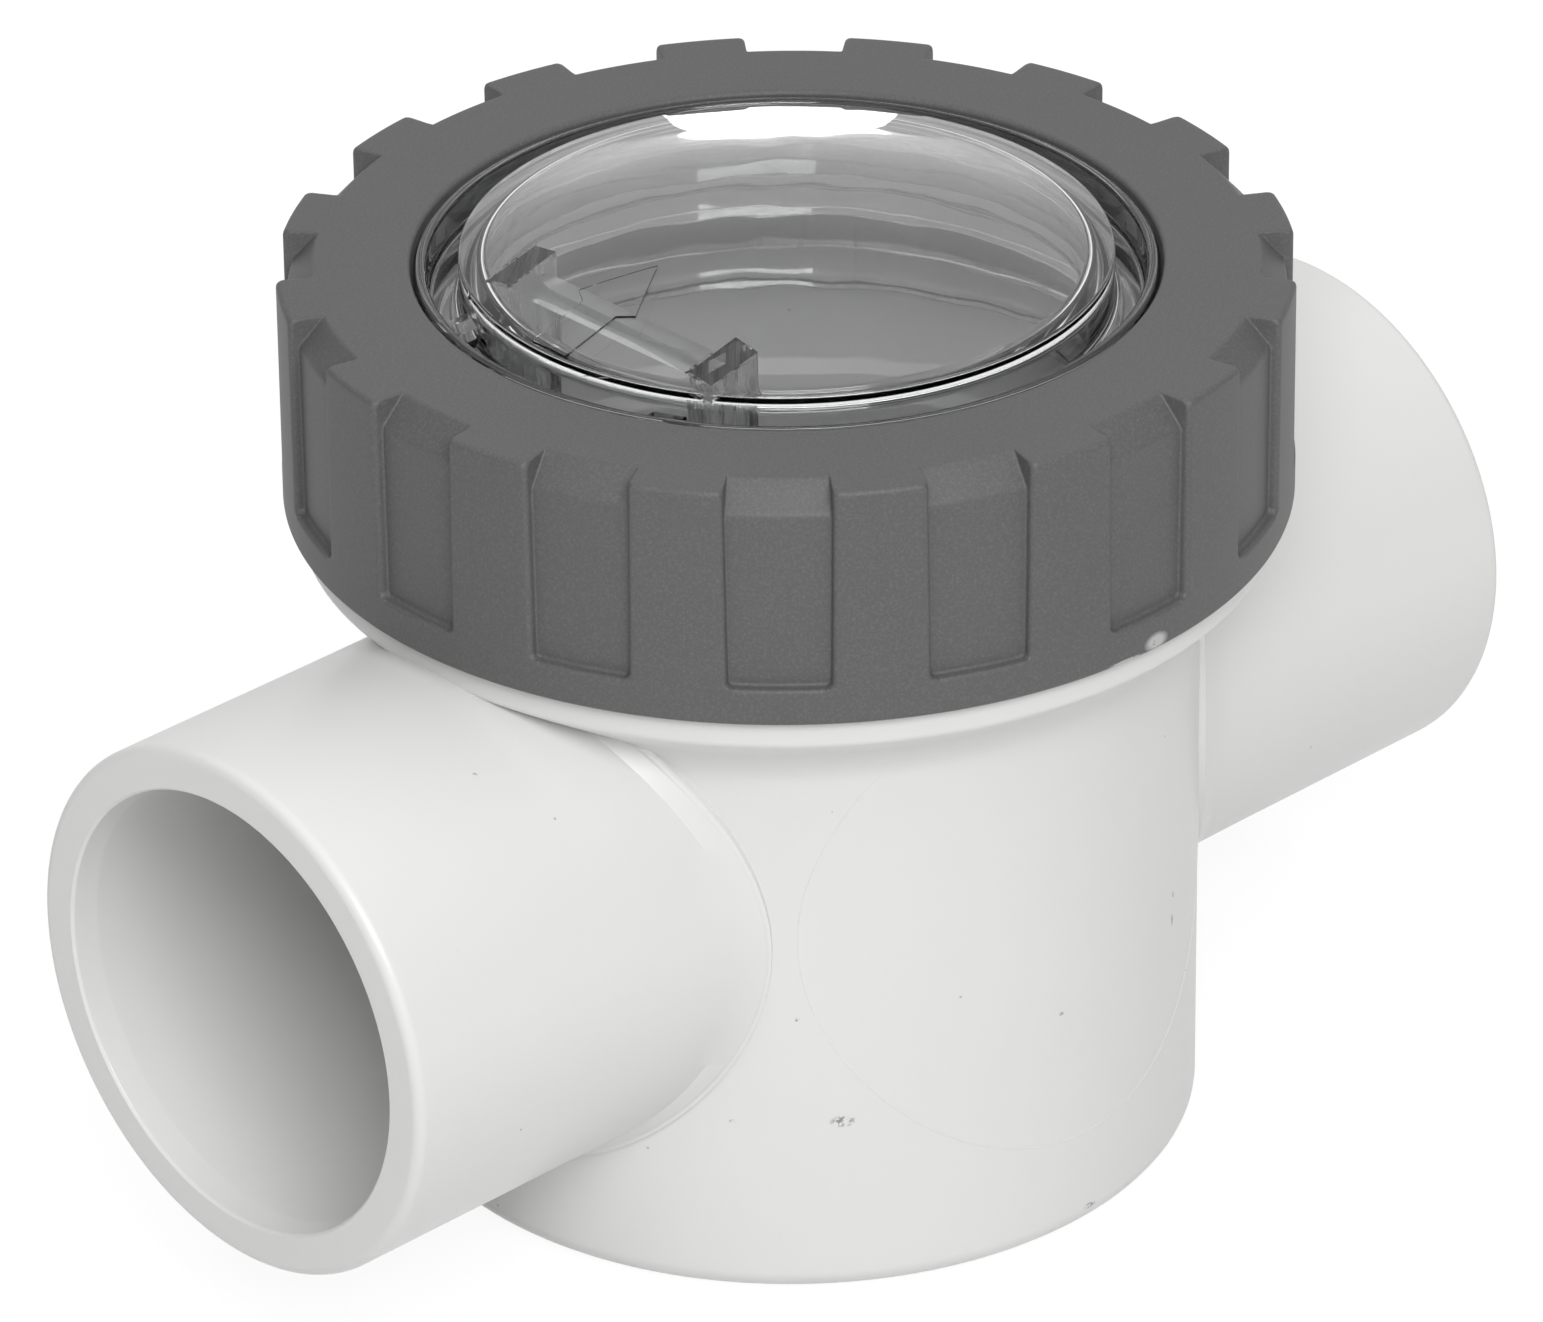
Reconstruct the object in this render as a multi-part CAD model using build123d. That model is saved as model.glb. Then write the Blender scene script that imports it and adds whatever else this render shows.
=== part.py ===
from build123d import *
import os
from math import cos, degrees, radians, sin, sqrt, tan

# Swing non-return valve for pipework: a round pot with two in-line solvent sockets, an inclined
# seat with a hinged flapper inside, and a clear domed lid held down by a castellated lock ring.
# Millimetres. Origin: centre of the pot's base. +Z up, +X along the flow, from inlet to outlet.

# Ports
overall_length = 201.0
socket_diameter = 60.4
socket_depth = 48.5
socket_stop_height = 3.2
port_wall = 6.3
port_ground_clearance = 16.1
spigot_length = 33.0
spigot_root_flare = 0.3
port_mouth_round = 0.6
socket_lead_in = 0.6
socket_lead_depth = 4.0
port_root_fillet = 2.0

# Pot and neck
pot_diameter = 109.0
pot_wall = 6.5
floor_thickness = 6.0
base_edge_round = 3.0
chamber_floor_round = 4.0
collar_ledge = 7.2
collar_above_axis = 35.6
collar_thickness = 3.7
collar_cone_height = 7.0
neck_overhang = 3.0
neck_wall = 7.5
neck_height = 22.9
inlet_boss_reach = 13.4
insert_bore_step = 4.0
insert_bore_depth = 11.0

# Lock ring
ring_wall = 8.7
ring_lip = 8.3
ring_top_thickness = 6.2
ring_to_collar_gap = 0.5
thread_clearance = 0.6
pocket_count = 16
pocket_width = 14.2
pocket_depth = 1.35
pocket_sill = 5.2
pocket_ramp_depth = 4.9
pocket_ramp_height = 3.9
ring_edge_round = 0.8

# Clear lid
lid_ring_clearance = 0.3
lid_rim_setback = 0.4
lid_rim_thickness = 1.8
lid_rim_round = 0.8
lid_flange_thickness = 4.2
lid_flange_clearance = 0.2
lid_flange_gap = 0.3
plug_clearance = 0.3
plug_depth = 16.6
plug_wall = 5.5
plug_lead_in = 0.6
groove_width = 4.2
dome_edge_rise = 0.8
dome_rise = 7.7
dome_wall = 3.2
dome_shoulder_round = 1.6
groove_depth = 4.8
lug_width = 4.0
lug_length = 8.2
lug_offset = 0.2
lug_gusset_height = 12.0
groove_rib_depth = 2.0
cross_bar_height = 3.0
cross_bar_width = 3.0
cross_bar_drop = 1.5
cross_bar_setback = 1.7

# Lid seal
lid_seal_section = 4.0
lid_seal_groove_width = 5.0
lid_seal_setback = 8.5
lid_seal_gap = 0.1

# Inclined seat insert
seat_tilt = 15.0
seat_flange_lip = 1.5
seat_flange_edge = 3.0
seat_bead_height = 1.0
seat_bead_width = 2.5
insert_clearance = 0.1
insert_spigot_length = 10.8
insert_seal_section = 2.0
insert_seal_groove_width = 2.6
insert_seal_setback = 4.0

# Hinge
hinge_offset = 4.3
hinge_gap = 7.6
pin_diameter = 4.0
pin_end_length = 1.7
pin_running_clearance = 0.05
ear_width = 5.0
ear_side_clearance = 0.5
ear_radius = 4.5
ear_top_clearance = 0.3
clip_diameter = 8.4
clip_thickness = 1.0
clip_slot = 2.6
barrel_diameter = 9.2
barrel_length = 29.4
bush_wall = 1.2
bush_length = 8.0
bush_flange_thickness = 0.8
bush_press = 0.02

# Flapper
flapper_edge = 1.0
flapper_thickness = 4.0
flapper_rim_height = 2.5
flapper_rim_width = 2.5
flapper_rib_height = 3.0
flapper_rib_width = 2.6
flapper_rib_spacing = 15.0
flapper_boss_diameter = 16.0
arm_inset = 2.7
arm_window_width = 9.0
seal_overlap = 1.5
seal_thickness = 2.5
seat_gap = 0.3
retainer_clearance = 3.0
retainer_thickness = 2.5
screw_diameter = 5.0
screw_hole_clearance = 0.2
screw_head_diameter = 9.5
screw_head_height = 2.8
washer_diameter = 11.0
washer_thickness = 1.0
nut_across_flats = 8.0
nut_height = 5.0
screw_tip = 1.5
opening_angle = 65.0
heel_width = 10.0
heel_length = 9.5
heel_thickness = 4.0
heel_clearance = 0.3

# Places that follow from the sizes above
half_length = overall_length / 2
waterway_diameter = socket_diameter - 2 * socket_stop_height
port_diameter = socket_diameter + 2 * port_wall
port_radius = port_diameter / 2
port_axis_height = port_radius + port_ground_clearance
pot_radius = pot_diameter / 2
chamber_radius = pot_radius - pot_wall
neck_radius = pot_radius + neck_overhang
neck_bore_radius = neck_radius - neck_wall
collar_radius = neck_radius + collar_ledge
collar_bottom_height = port_axis_height + collar_above_axis
collar_top_height = collar_bottom_height + collar_thickness
neck_top_height = collar_top_height + neck_height
inlet_boss_face = inlet_boss_reach - chamber_radius
insert_bore_radius = waterway_diameter / 2 + insert_bore_step
thread_radius = neck_radius + thread_clearance
ring_radius = thread_radius + ring_wall
ring_hole_radius = neck_radius - ring_lip
ring_bottom_height = collar_top_height + ring_to_collar_gap
lid_flange_bottom = neck_top_height + lid_flange_gap
lid_flange_top = lid_flange_bottom + lid_flange_thickness
ring_plate_height = lid_flange_top + lid_flange_clearance
ring_top_height = ring_plate_height + ring_top_thickness
lid_rim_radius = ring_hole_radius - lid_ring_clearance
lid_rim_top = ring_top_height - lid_rim_setback
groove_radius = lid_rim_radius - lid_rim_thickness
groove_floor = lid_rim_top - groove_depth
dome_radius = groove_radius - groove_width
dome_edge_height = ring_top_height + dome_edge_rise
dome_top_height = dome_edge_height + dome_rise
plug_radius = neck_bore_radius - plug_clearance
plug_bore_radius = plug_radius - plug_wall
lid_seal_radius = neck_bore_radius - lid_seal_gap - lid_seal_section / 2
lid_seal_height = lid_flange_bottom - lid_seal_setback
ear_spacing = barrel_length + 2 * (bush_flange_thickness + ear_side_clearance) + ear_width
pin_length = ear_spacing + ear_width + 2 * (ear_top_clearance + clip_thickness + pin_end_length)
arm_width = barrel_length - 2 * arm_inset
lug_spacing = ear_spacing + lug_offset
lug_outer = (lug_spacing + lug_width) / 2
lug_inner = (lug_spacing - lug_width) / 2

boss_top_height = port_axis_height + port_radius
tilt = radians(seat_tilt)
seat_flange_radius = insert_bore_radius + seat_flange_lip
seat_bead_radius = waterway_diameter / 2 + seat_bead_width
seal_radius = seat_bead_radius + seal_overlap
flapper_radius = seal_radius + flapper_edge
retainer_radius = waterway_diameter / 2 - retainer_clearance
hinge_rise = flapper_radius + hinge_gap
seat_centre_x = inlet_boss_face + seat_flange_edge + seat_flange_radius * tan(tilt)
seat_plane = Plane(
    origin=(seat_centre_x, 0, port_axis_height),
    x_dir=(0, 1, 0),
    z_dir=(cos(tilt), 0, sin(tilt)),
)
hinge_x = seat_centre_x + hinge_offset * cos(tilt) - hinge_rise * sin(tilt)
hinge_z = port_axis_height + hinge_offset * sin(tilt) + hinge_rise * cos(tilt)
pin_radius = pin_diameter / 2
ear_top_height = hinge_z + pin_radius
seal_back = seat_gap + seal_thickness
flapper_back = seal_back + flapper_thickness
boss_back = flapper_back + flapper_rib_height


def along_x(radius, start, end, y=0.0, z=port_axis_height):
    """A round bar along X from start to end."""
    bar = Cylinder(radius, end - start, align=(Align.CENTER, Align.CENTER, Align.MIN))
    return Pos(start, y, z) * (Rot(0, 90, 0) * bar)


def along_y(radius, start, end, x, z):
    """A round bar along Y from start to end."""
    bar = Cylinder(radius, end - start, align=(Align.CENTER, Align.CENTER, Align.MIN))
    return Pos(x, start, z) * (Rot(-90, 0, 0) * bar)


def upright(radius, start, end):
    """A round bar on the pot's axis from one height to another."""
    bar = Cylinder(radius, end - start, align=(Align.CENTER, Align.CENTER, Align.MIN))
    return Pos(0, 0, start) * bar


def block(low, high):
    """A box between two corners."""
    size = [b - a for a, b in zip(low, high)]
    middle = [(a + b) / 2 for a, b in zip(low, high)]
    return Pos(*middle) * Box(*size)


def revolved(points, arc=360.0):
    """A profile of (radius, height) points turned about the pot's axis."""
    outline = Plane.XZ * Polyline(*points, close=True)
    return revolve(make_face(outline), Axis.Z, arc)


def round_edges(shape, radius):
    """The level circular edges of one radius, from the lowest to the highest."""
    circles = shape.edges().filter_by(GeomType.CIRCLE).filter_by(Plane.XY)
    return circles.filter_by(lambda edge: abs(edge.radius - radius) < 0.01).sort_by(Axis.Z)


def on_seat(shape):
    """Places a shape drawn on the seat plane: X across, Y up the seat, Z off the seat."""
    return seat_plane.location * shape


def seat_disc(radius, start, end, x=0.0, y=0.0):
    """A disc square to the seat plane, between two distances off the seat."""
    disc = Cylinder(radius, end - start, align=(Align.CENTER, Align.CENTER, Align.MIN))
    return on_seat(Pos(x, y, start) * disc)


def seat_block(low, high):
    """A box square to the seat plane."""
    return on_seat(block(low, high))


# Valve body
def body_shell():
    """The pot with its collar and neck, as one turned profile."""
    cone_start = collar_bottom_height - collar_cone_height
    profile = [
        (0, 0),
        (pot_radius, 0),
        (pot_radius, cone_start),
        (collar_radius, collar_bottom_height),
        (collar_radius, collar_top_height),
        (neck_radius, collar_top_height),
        (neck_radius, neck_top_height),
        (0, neck_top_height),
    ]
    shell = revolved(profile)
    return fillet(round_edges(shell, pot_radius)[0], base_edge_round)


def body_chamber():
    """The open space inside the pot and the wider bore of the neck."""
    step_height = collar_bottom_height - collar_cone_height
    step_top = step_height + neck_bore_radius - chamber_radius
    profile = [
        (0, floor_thickness),
        (chamber_radius, floor_thickness),
        (chamber_radius, step_height),
        (neck_bore_radius, step_top),
        (neck_bore_radius, neck_top_height),
        (0, neck_top_height),
    ]
    hollow = revolved(profile)
    return fillet(round_edges(hollow, chamber_radius)[0], chamber_floor_round)


def port_tube():
    """Both ports as one bar through the pot: round spigots that flare a little to their roots."""
    spigot_start = half_length - spigot_length
    root = sqrt(pot_radius**2 - port_radius**2)
    root_radius = port_radius + spigot_root_flare
    bar = revolved(
        [
            (0, -half_length),
            (port_radius, -half_length),
            (port_radius, -spigot_start),
            (root_radius, -root),
            (root_radius, root),
            (port_radius, spigot_start),
            (port_radius, half_length),
            (0, half_length),
        ]
    )
    rings = round_edges(bar, port_radius)
    bar = fillet([rings[0], rings[-1]], port_mouth_round)
    return Pos(0, 0, port_axis_height) * (Rot(0, 90, 0) * bar)


def socket_cutter(side):
    """The pipe socket of one port with its tapered lead-in and the waterway behind it."""
    socket_radius = socket_diameter / 2
    profile = [
        (0, 0),
        (waterway_diameter / 2, 0),
        (waterway_diameter / 2, half_length - socket_depth),
        (socket_radius, half_length - socket_depth),
        (socket_radius, half_length - socket_lead_depth),
        (socket_radius + socket_lead_in, half_length),
        (0, half_length),
    ]
    cutter = revolved(profile)
    return Pos(0, 0, port_axis_height) * (Rot(0, 90 * side, 0) * cutter)


def valve_body():
    shell = body_shell() + port_tube()
    joint_edges = [
        edge
        for edge in shell.edges()
        if port_radius - 4 < abs(edge.center().X) < pot_radius
        and abs(edge.center().Z - port_axis_height) < port_radius
        and edge.length > port_radius
    ]
    shell = fillet(joint_edges, port_root_fillet)
    boss_reach = along_x(port_radius, -chamber_radius - 1, inlet_boss_face)
    body = shell - (body_chamber() - boss_reach)
    body -= socket_cutter(-1)
    body -= socket_cutter(1)
    bore_end = inlet_boss_face - insert_bore_depth
    return body - along_x(insert_bore_radius, bore_end, inlet_boss_face)


# Seat insert
def seat_insert():
    """The spigot, inclined flange and raised bead that the flapper closes on, with hinge ears."""
    spigot_radius = insert_bore_radius - insert_clearance
    spigot_start = inlet_boss_face - insert_spigot_length
    spigot = along_x(spigot_radius, spigot_start, inlet_boss_face)
    reach = seat_centre_x + seat_flange_radius
    flange = along_x(seat_flange_radius, inlet_boss_face, reach)
    beyond = seat_disc(2 * seat_flange_radius, -seat_bead_height, 2 * seat_flange_radius)
    bead = along_x(seat_bead_radius, inlet_boss_face, reach)
    bead -= seat_disc(2 * seat_flange_radius, 0, 2 * seat_flange_radius)
    insert = spigot + (flange - beyond) + bead + hinge_ears()
    insert -= along_x(waterway_diameter / 2, spigot_start, reach)
    groove_middle = inlet_boss_face - insert_seal_setback
    groove_start = groove_middle - insert_seal_groove_width / 2
    groove_end = groove_middle + insert_seal_groove_width / 2
    groove = along_x(spigot_radius, groove_start, groove_end) - along_x(
        spigot_radius - insert_seal_section, groove_start, groove_end
    )
    return insert - groove


def hinge_ears():
    """Two upright ears with open-topped slots that the hinge pin drops into."""
    ears = None
    for side in (-1, 1):
        start = side * ear_spacing / 2 - ear_width / 2
        end = start + ear_width
        lobe = along_y(ear_radius, start, end, hinge_x, hinge_z)
        web_low = (start, seat_flange_radius * 0.72, -seat_flange_edge)
        web_high = (end, hinge_rise, hinge_offset)
        web = seat_block(web_low, web_high)
        web -= seat_block(
            (start, 0, -seat_bead_height),
            (end, hinge_rise - ear_radius * 1.6, hinge_offset),
        )
        web -= block(
            (-chamber_radius, start, 0),
            (inlet_boss_face, end, boss_top_height + heel_clearance),
        )
        ear = lobe + web
        ear -= block(
            (hinge_x - 2 * ear_radius, start, ear_top_height),
            (hinge_x + 2 * ear_radius, end, ear_top_height + 2 * ear_radius),
        )
        slot_radius = pin_radius + pin_running_clearance
        ear -= along_y(slot_radius, start, end, hinge_x, hinge_z)
        ear -= block(
            (hinge_x - slot_radius, start, hinge_z),
            (hinge_x + slot_radius, end, ear_top_height + ear_radius),
        )
        ears = ear if ears is None else ears + ear
    return ears


def seat_o_ring():
    """The O-ring in the insert's groove."""
    spigot_radius = insert_bore_radius - insert_clearance
    ring_radius_middle = spigot_radius - insert_seal_section / 2
    ring = Torus(ring_radius_middle, insert_seal_section / 2)
    x = inlet_boss_face - insert_seal_setback
    return Pos(x, 0, port_axis_height) * (Rot(0, 90, 0) * ring)


# Hinge
def hinge_pin():
    pin = along_y(pin_radius, -pin_length / 2, pin_length / 2, hinge_x, hinge_z)
    return chamfer(pin.edges().filter_by(GeomType.CIRCLE), pin_radius / 4)


def pin_clips():
    """Two open clips on the pin, one outside each ear."""
    clips = []
    for side in (-1, 1):
        inner_face = side * ((ear_spacing + ear_width) / 2 + ear_top_clearance)
        start = min(inner_face, inner_face + side * clip_thickness)
        end = start + clip_thickness
        clip = along_y(clip_diameter / 2, start, end, hinge_x, hinge_z)
        clip -= along_y(pin_radius, start, end, hinge_x, hinge_z)
        clip -= block(
            (hinge_x - clip_slot / 2, start, hinge_z - clip_diameter),
            (hinge_x + clip_slot / 2, end, hinge_z),
        )
        clips.append(clip)
    return Compound(clips)


def hinge_bush(side):
    """A flanged bush pressed into one end of the flapper's hinge barrel."""
    bore = pin_radius + pin_running_clearance
    outer = side * (barrel_length / 2 + bush_flange_thickness)
    face = side * barrel_length / 2
    inner = side * (barrel_length / 2 - bush_length)
    bush = along_y(bore + bush_wall, min(inner, face), max(inner, face), hinge_x, hinge_z)
    bush += along_y(
        barrel_diameter / 2, min(outer, face), max(outer, face), hinge_x, hinge_z
    )
    return bush - along_y(bore, min(outer, inner), max(outer, inner), hinge_x, hinge_z)


def left_hinge_bush():
    return hinge_bush(1)


def right_hinge_bush():
    return hinge_bush(-1)


# Flapper
def flapper_disc():
    """The moulded disc with rim, ribs, screw boss, hinge arm, barrel and stop heel."""
    radius = flapper_radius
    disc = seat_disc(radius, seal_back, flapper_back)
    rim = seat_disc(radius, flapper_back, flapper_back + flapper_rim_height)
    rim -= seat_disc(
        radius - flapper_rim_width, flapper_back, flapper_back + flapper_rim_height
    )
    disc += rim
    reach = sqrt(radius**2 - flapper_rib_spacing**2) - flapper_rim_width / 2
    for x in (-flapper_rib_spacing, 0, flapper_rib_spacing):
        disc += seat_block(
            (x - flapper_rib_width / 2, -reach, flapper_back),
            (x + flapper_rib_width / 2, reach, flapper_back + flapper_rim_height),
        )
    disc += seat_disc(flapper_boss_diameter / 2, flapper_back, boss_back)
    arm = seat_block(
        (-arm_width / 2, flapper_boss_diameter, seal_back),
        (arm_width / 2, hinge_rise, flapper_back),
    )
    for side in (-1, 1):
        edge = side * (arm_width - flapper_rib_width) / 2
        arm += seat_block(
            (edge - flapper_rib_width / 2, flapper_boss_diameter, seal_back),
            (edge + flapper_rib_width / 2, hinge_rise, flapper_back + flapper_rim_height),
        )
    arm -= seat_block(
        (-arm_window_width / 2, radius, 0),
        (arm_window_width / 2, hinge_rise - barrel_diameter / 2, boss_back),
    )
    barrel = along_y(
        barrel_diameter / 2, -barrel_length / 2, barrel_length / 2, hinge_x, hinge_z
    )
    disc += arm
    disc += barrel
    disc += stop_heel()
    bush_bore = pin_radius + pin_running_clearance + bush_wall + bush_press
    disc -= along_y(bush_bore, -barrel_length / 2, barrel_length / 2, hinge_x, hinge_z)
    disc -= seat_disc(screw_diameter / 2 + screw_hole_clearance, 0, boss_back)
    return disc


def stop_heel():
    """The heel behind the barrel, which meets the inlet boss when the flapper is fully open."""
    foot = boss_top_height + heel_clearance
    heel = block(
        (hinge_x - heel_length, -heel_width / 2, foot),
        (hinge_x, heel_width / 2, foot + heel_thickness),
    )
    hinge_axis = Axis((hinge_x, 0, hinge_z), (0, -1, 0))
    return heel.rotate(hinge_axis, -opening_angle)


def flapper_seal():
    """The flat rubber facing of the flapper."""
    seal = seat_disc(seal_radius, seat_gap, seal_back)
    return seal - seat_disc(screw_diameter / 2 + screw_hole_clearance, seat_gap, seal_back)


def seal_retainer():
    """The stiff disc that clamps the rubber facing to the flapper."""
    plate = seat_disc(retainer_radius, seat_gap - retainer_thickness, seat_gap)
    hole = screw_diameter / 2 + screw_hole_clearance
    return plate - seat_disc(hole, seat_gap - retainer_thickness, seat_gap)


def retainer_screw():
    """The pan-head screw through retainer, facing and flapper."""
    head_face = seat_gap - retainer_thickness
    tip = boss_back + washer_thickness + nut_height + screw_tip
    head = seat_disc(screw_head_diameter / 2, head_face - screw_head_height, head_face)
    head_edge = head.edges().filter_by(GeomType.CIRCLE).sort_by(Axis.X)[0]
    head = fillet(head_edge, screw_head_height / 2)
    screw = head + seat_disc(screw_diameter / 2, head_face, tip)
    slot = seat_block(
        (-screw_head_diameter, -0.6, head_face - screw_head_height),
        (screw_head_diameter, 0.6, head_face - screw_head_height / 2),
    )
    return screw - slot


def retainer_washer():
    washer = seat_disc(washer_diameter / 2, boss_back, boss_back + washer_thickness)
    hole = screw_diameter / 2 + screw_hole_clearance
    return washer - seat_disc(hole, boss_back, boss_back + washer_thickness)


def retainer_nut():
    """The hexagon lock nut on the screw behind the flapper."""
    base = boss_back + washer_thickness
    hexagon = extrude(RegularPolygon(nut_across_flats / 2, 6, major_radius=False), nut_height)
    nut = on_seat(Pos(0, 0, base) * hexagon)
    return nut - seat_disc(screw_diameter / 2 + bush_press, base, base + nut_height)


# Clear lid
def dome_ball(inset=0.0):
    """The sphere that the dome's outside follows, or one inset from it."""
    ball_radius = (dome_radius**2 + dome_rise**2) / (2 * dome_rise)
    ball = Sphere(ball_radius - inset)
    return Pos(0, 0, dome_top_height - ball_radius) * ball


def lid_plug():
    """The plug that centres the lid in the neck, with the groove for its O-ring."""
    bottom = lid_flange_bottom - plug_depth
    plug = revolved(
        [
            (plug_bore_radius, bottom),
            (plug_radius - plug_lead_in, bottom),
            (plug_radius, bottom + plug_lead_in),
            (plug_radius, lid_flange_bottom),
            (plug_bore_radius, lid_flange_bottom),
        ]
    )
    groove_low = lid_seal_height - lid_seal_groove_width / 2
    groove_high = lid_seal_height + lid_seal_groove_width / 2
    groove_root = lid_seal_radius - lid_seal_section / 2 - lid_seal_gap
    return plug - (
        upright(plug_radius, groove_low, groove_high)
        - upright(groove_root, groove_low, groove_high)
    )


def lid_shell():
    """Flange, rim, groove, dome and plug of the lid, with the hollow under the dome."""
    flange_radius = neck_radius - lid_ring_clearance
    plate = upright(flange_radius, lid_flange_bottom, lid_flange_top)
    rim = upright(lid_rim_radius, lid_flange_top, lid_rim_top)
    rim = fillet(round_edges(rim, lid_rim_radius)[-1], lid_rim_round)
    shell = plate + rim + lid_plug() - upright(groove_radius, groove_floor, lid_rim_top)
    dome = upright(dome_radius, lid_flange_bottom, dome_top_height) & dome_ball()
    shoulder = round_edges(dome, dome_radius)[-1]
    shell += fillet(shoulder, dome_shoulder_round)
    hollow_radius = dome_radius - dome_wall
    hollow = upright(hollow_radius, lid_flange_bottom, dome_top_height)
    return shell - (hollow & dome_ball(dome_wall))


def lid_lugs():
    """Two legs under the dome that hold the hinge pin down, their gussets, and the bar."""
    foot = ear_top_height + ear_top_clearance
    front = hinge_x + lug_length / 2
    back = hinge_x - lug_length / 2
    gusset_foot = lid_flange_top - lug_gusset_height
    lugs = None
    for side in (-1, 1):
        low = min(side * lug_inner, side * lug_outer)
        high = max(side * lug_inner, side * lug_outer)
        leg = block((back, low, foot), (front, high, dome_top_height))
        gusset = block((-plug_radius, low, gusset_foot), (front, high, dome_top_height))
        leg += gusset
        lugs = leg if lugs is None else lugs + leg
    bar_top = dome_edge_height - cross_bar_drop
    bar_front = front - cross_bar_setback
    bar = block(
        (bar_front - cross_bar_width, -lug_inner, bar_top - cross_bar_height),
        (bar_front, lug_inner, bar_top),
    )
    middle_of_wall = dome_wall / 2
    inside = upright(dome_radius - middle_of_wall, foot, dome_top_height)
    inside += upright(plug_bore_radius + plug_lead_in, foot, lid_flange_bottom + plug_lead_in)
    return (lugs + bar) & inside & dome_ball(middle_of_wall)


def groove_ribs():
    """Short ribs across the lid's groove in line with the two legs."""
    top = lid_rim_top - groove_rib_depth
    reach = groove_radius + lid_rim_thickness / 2
    ring = upright(reach, groove_floor - 1, top) - upright(
        dome_radius - dome_wall / 2, groove_floor - 1, top
    )
    ribs = block((-reach, -lug_outer, groove_floor - 1), (0, -lug_inner, top))
    ribs += block((-reach, lug_inner, groove_floor - 1), (0, lug_outer, top))
    return ribs & ring


def clear_lid():
    return lid_shell() + lid_lugs() + groove_ribs()


def lid_o_ring():
    """The O-ring round the lid's plug."""
    ring = Torus(lid_seal_radius, lid_seal_section / 2)
    return Pos(0, 0, lid_seal_height) * ring


# Lock ring
def ring_pocket():
    """One grip pocket in the ring's side, with the ramp at its top."""
    floor = ring_radius - pocket_depth
    outside = ring_radius + pocket_depth
    sill = ring_bottom_height + pocket_sill
    ramp_start = ring_top_height - pocket_ramp_height
    ramp_slope = (pocket_ramp_depth - pocket_depth) / pocket_ramp_height
    above = ring_top_height + 1
    angle = degrees(pocket_width / ring_radius)
    pocket = revolved(
        [
            (floor, sill),
            (outside, sill),
            (outside, above),
            (floor - ramp_slope * (above - ramp_start), above),
            (floor, ramp_start),
        ],
        angle,
    )
    return Rot(0, 0, -angle / 2) * pocket


def lock_ring():
    """The threaded cap ring with its grip pockets."""
    ring = revolved(
        [
            (thread_radius, ring_bottom_height),
            (ring_radius, ring_bottom_height),
            (ring_radius, ring_top_height),
            (ring_hole_radius, ring_top_height),
            (ring_hole_radius, ring_plate_height),
            (thread_radius, ring_plate_height),
        ]
    )
    ring = fillet(round_edges(ring, ring_radius), ring_edge_round)
    pocket = ring_pocket()
    for index in range(pocket_count):
        ring -= Rot(0, 0, index * 360 / pocket_count) * pocket
    return ring


parts = {
    "valve_body": valve_body,
    "seat_insert": seat_insert,
    "seat_o_ring": seat_o_ring,
    "hinge_pin": hinge_pin,
    "pin_clips": pin_clips,
    "left_hinge_bush": left_hinge_bush,
    "right_hinge_bush": right_hinge_bush,
    "flapper_disc": flapper_disc,
    "flapper_seal": flapper_seal,
    "seal_retainer": seal_retainer,
    "retainer_screw": retainer_screw,
    "retainer_washer": retainer_washer,
    "retainer_nut": retainer_nut,
    "clear_lid": clear_lid,
    "lid_o_ring": lid_o_ring,
    "lock_ring": lock_ring,
}

os.makedirs("parts", exist_ok=True)
for name, make in parts.items():
    export_step(make(), f"parts/{name}.step")
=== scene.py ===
from math import atan2, cos, pi, radians, sin, sqrt, tan

import bmesh
import bpy
from bpy.props import FloatProperty, FloatVectorProperty, IntProperty, PointerProperty
from bpy.types import Operator, Panel, PropertyGroup
from mathutils import Matrix, Vector


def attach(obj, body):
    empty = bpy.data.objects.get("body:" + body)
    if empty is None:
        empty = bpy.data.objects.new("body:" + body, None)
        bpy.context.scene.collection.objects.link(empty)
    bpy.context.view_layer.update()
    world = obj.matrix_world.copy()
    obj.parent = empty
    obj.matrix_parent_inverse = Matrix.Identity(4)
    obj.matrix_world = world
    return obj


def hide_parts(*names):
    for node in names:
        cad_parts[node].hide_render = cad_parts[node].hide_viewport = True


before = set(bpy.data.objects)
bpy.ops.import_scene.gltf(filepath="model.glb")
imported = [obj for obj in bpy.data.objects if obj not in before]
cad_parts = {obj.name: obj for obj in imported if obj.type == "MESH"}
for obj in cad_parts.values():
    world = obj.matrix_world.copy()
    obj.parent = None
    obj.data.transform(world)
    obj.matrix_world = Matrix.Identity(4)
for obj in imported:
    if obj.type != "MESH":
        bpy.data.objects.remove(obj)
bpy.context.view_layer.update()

bl_info = {
    "name": "Swing Non-Return Valve",
    "version": (1, 0, 0),
    "blender": (4, 5, 0),
    "location": "View3D > Sidebar > Valve",
    "description": "A moulded swing non-return valve with a clear lid and its studio",
    "category": "Object",
}

MM = 0.001
PORT_AXIS = 52.6  # height of the pipe axis above the base
RING_TOP = 125.7
RING_BOTTOM = 92.4
LEG_SIDES = ((-20.6, -16.6), (16.6, 20.6))  # the lid's two legs, across the flow
GUSSET_BACK = -48.5  # where gussets and groove ribs start, outside the rim
CAMERA_RIGHT = (0.724, -0.690, 0.0)  # across the photo's view, to the right
WELD = 0.004  # points of the ring's sectors nearer than this become one
FLOOR_REACH = 3000  # half of the table top's width
FINE, ROUND = 320, 256  # segments round the pot, and round ports and lid


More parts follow.
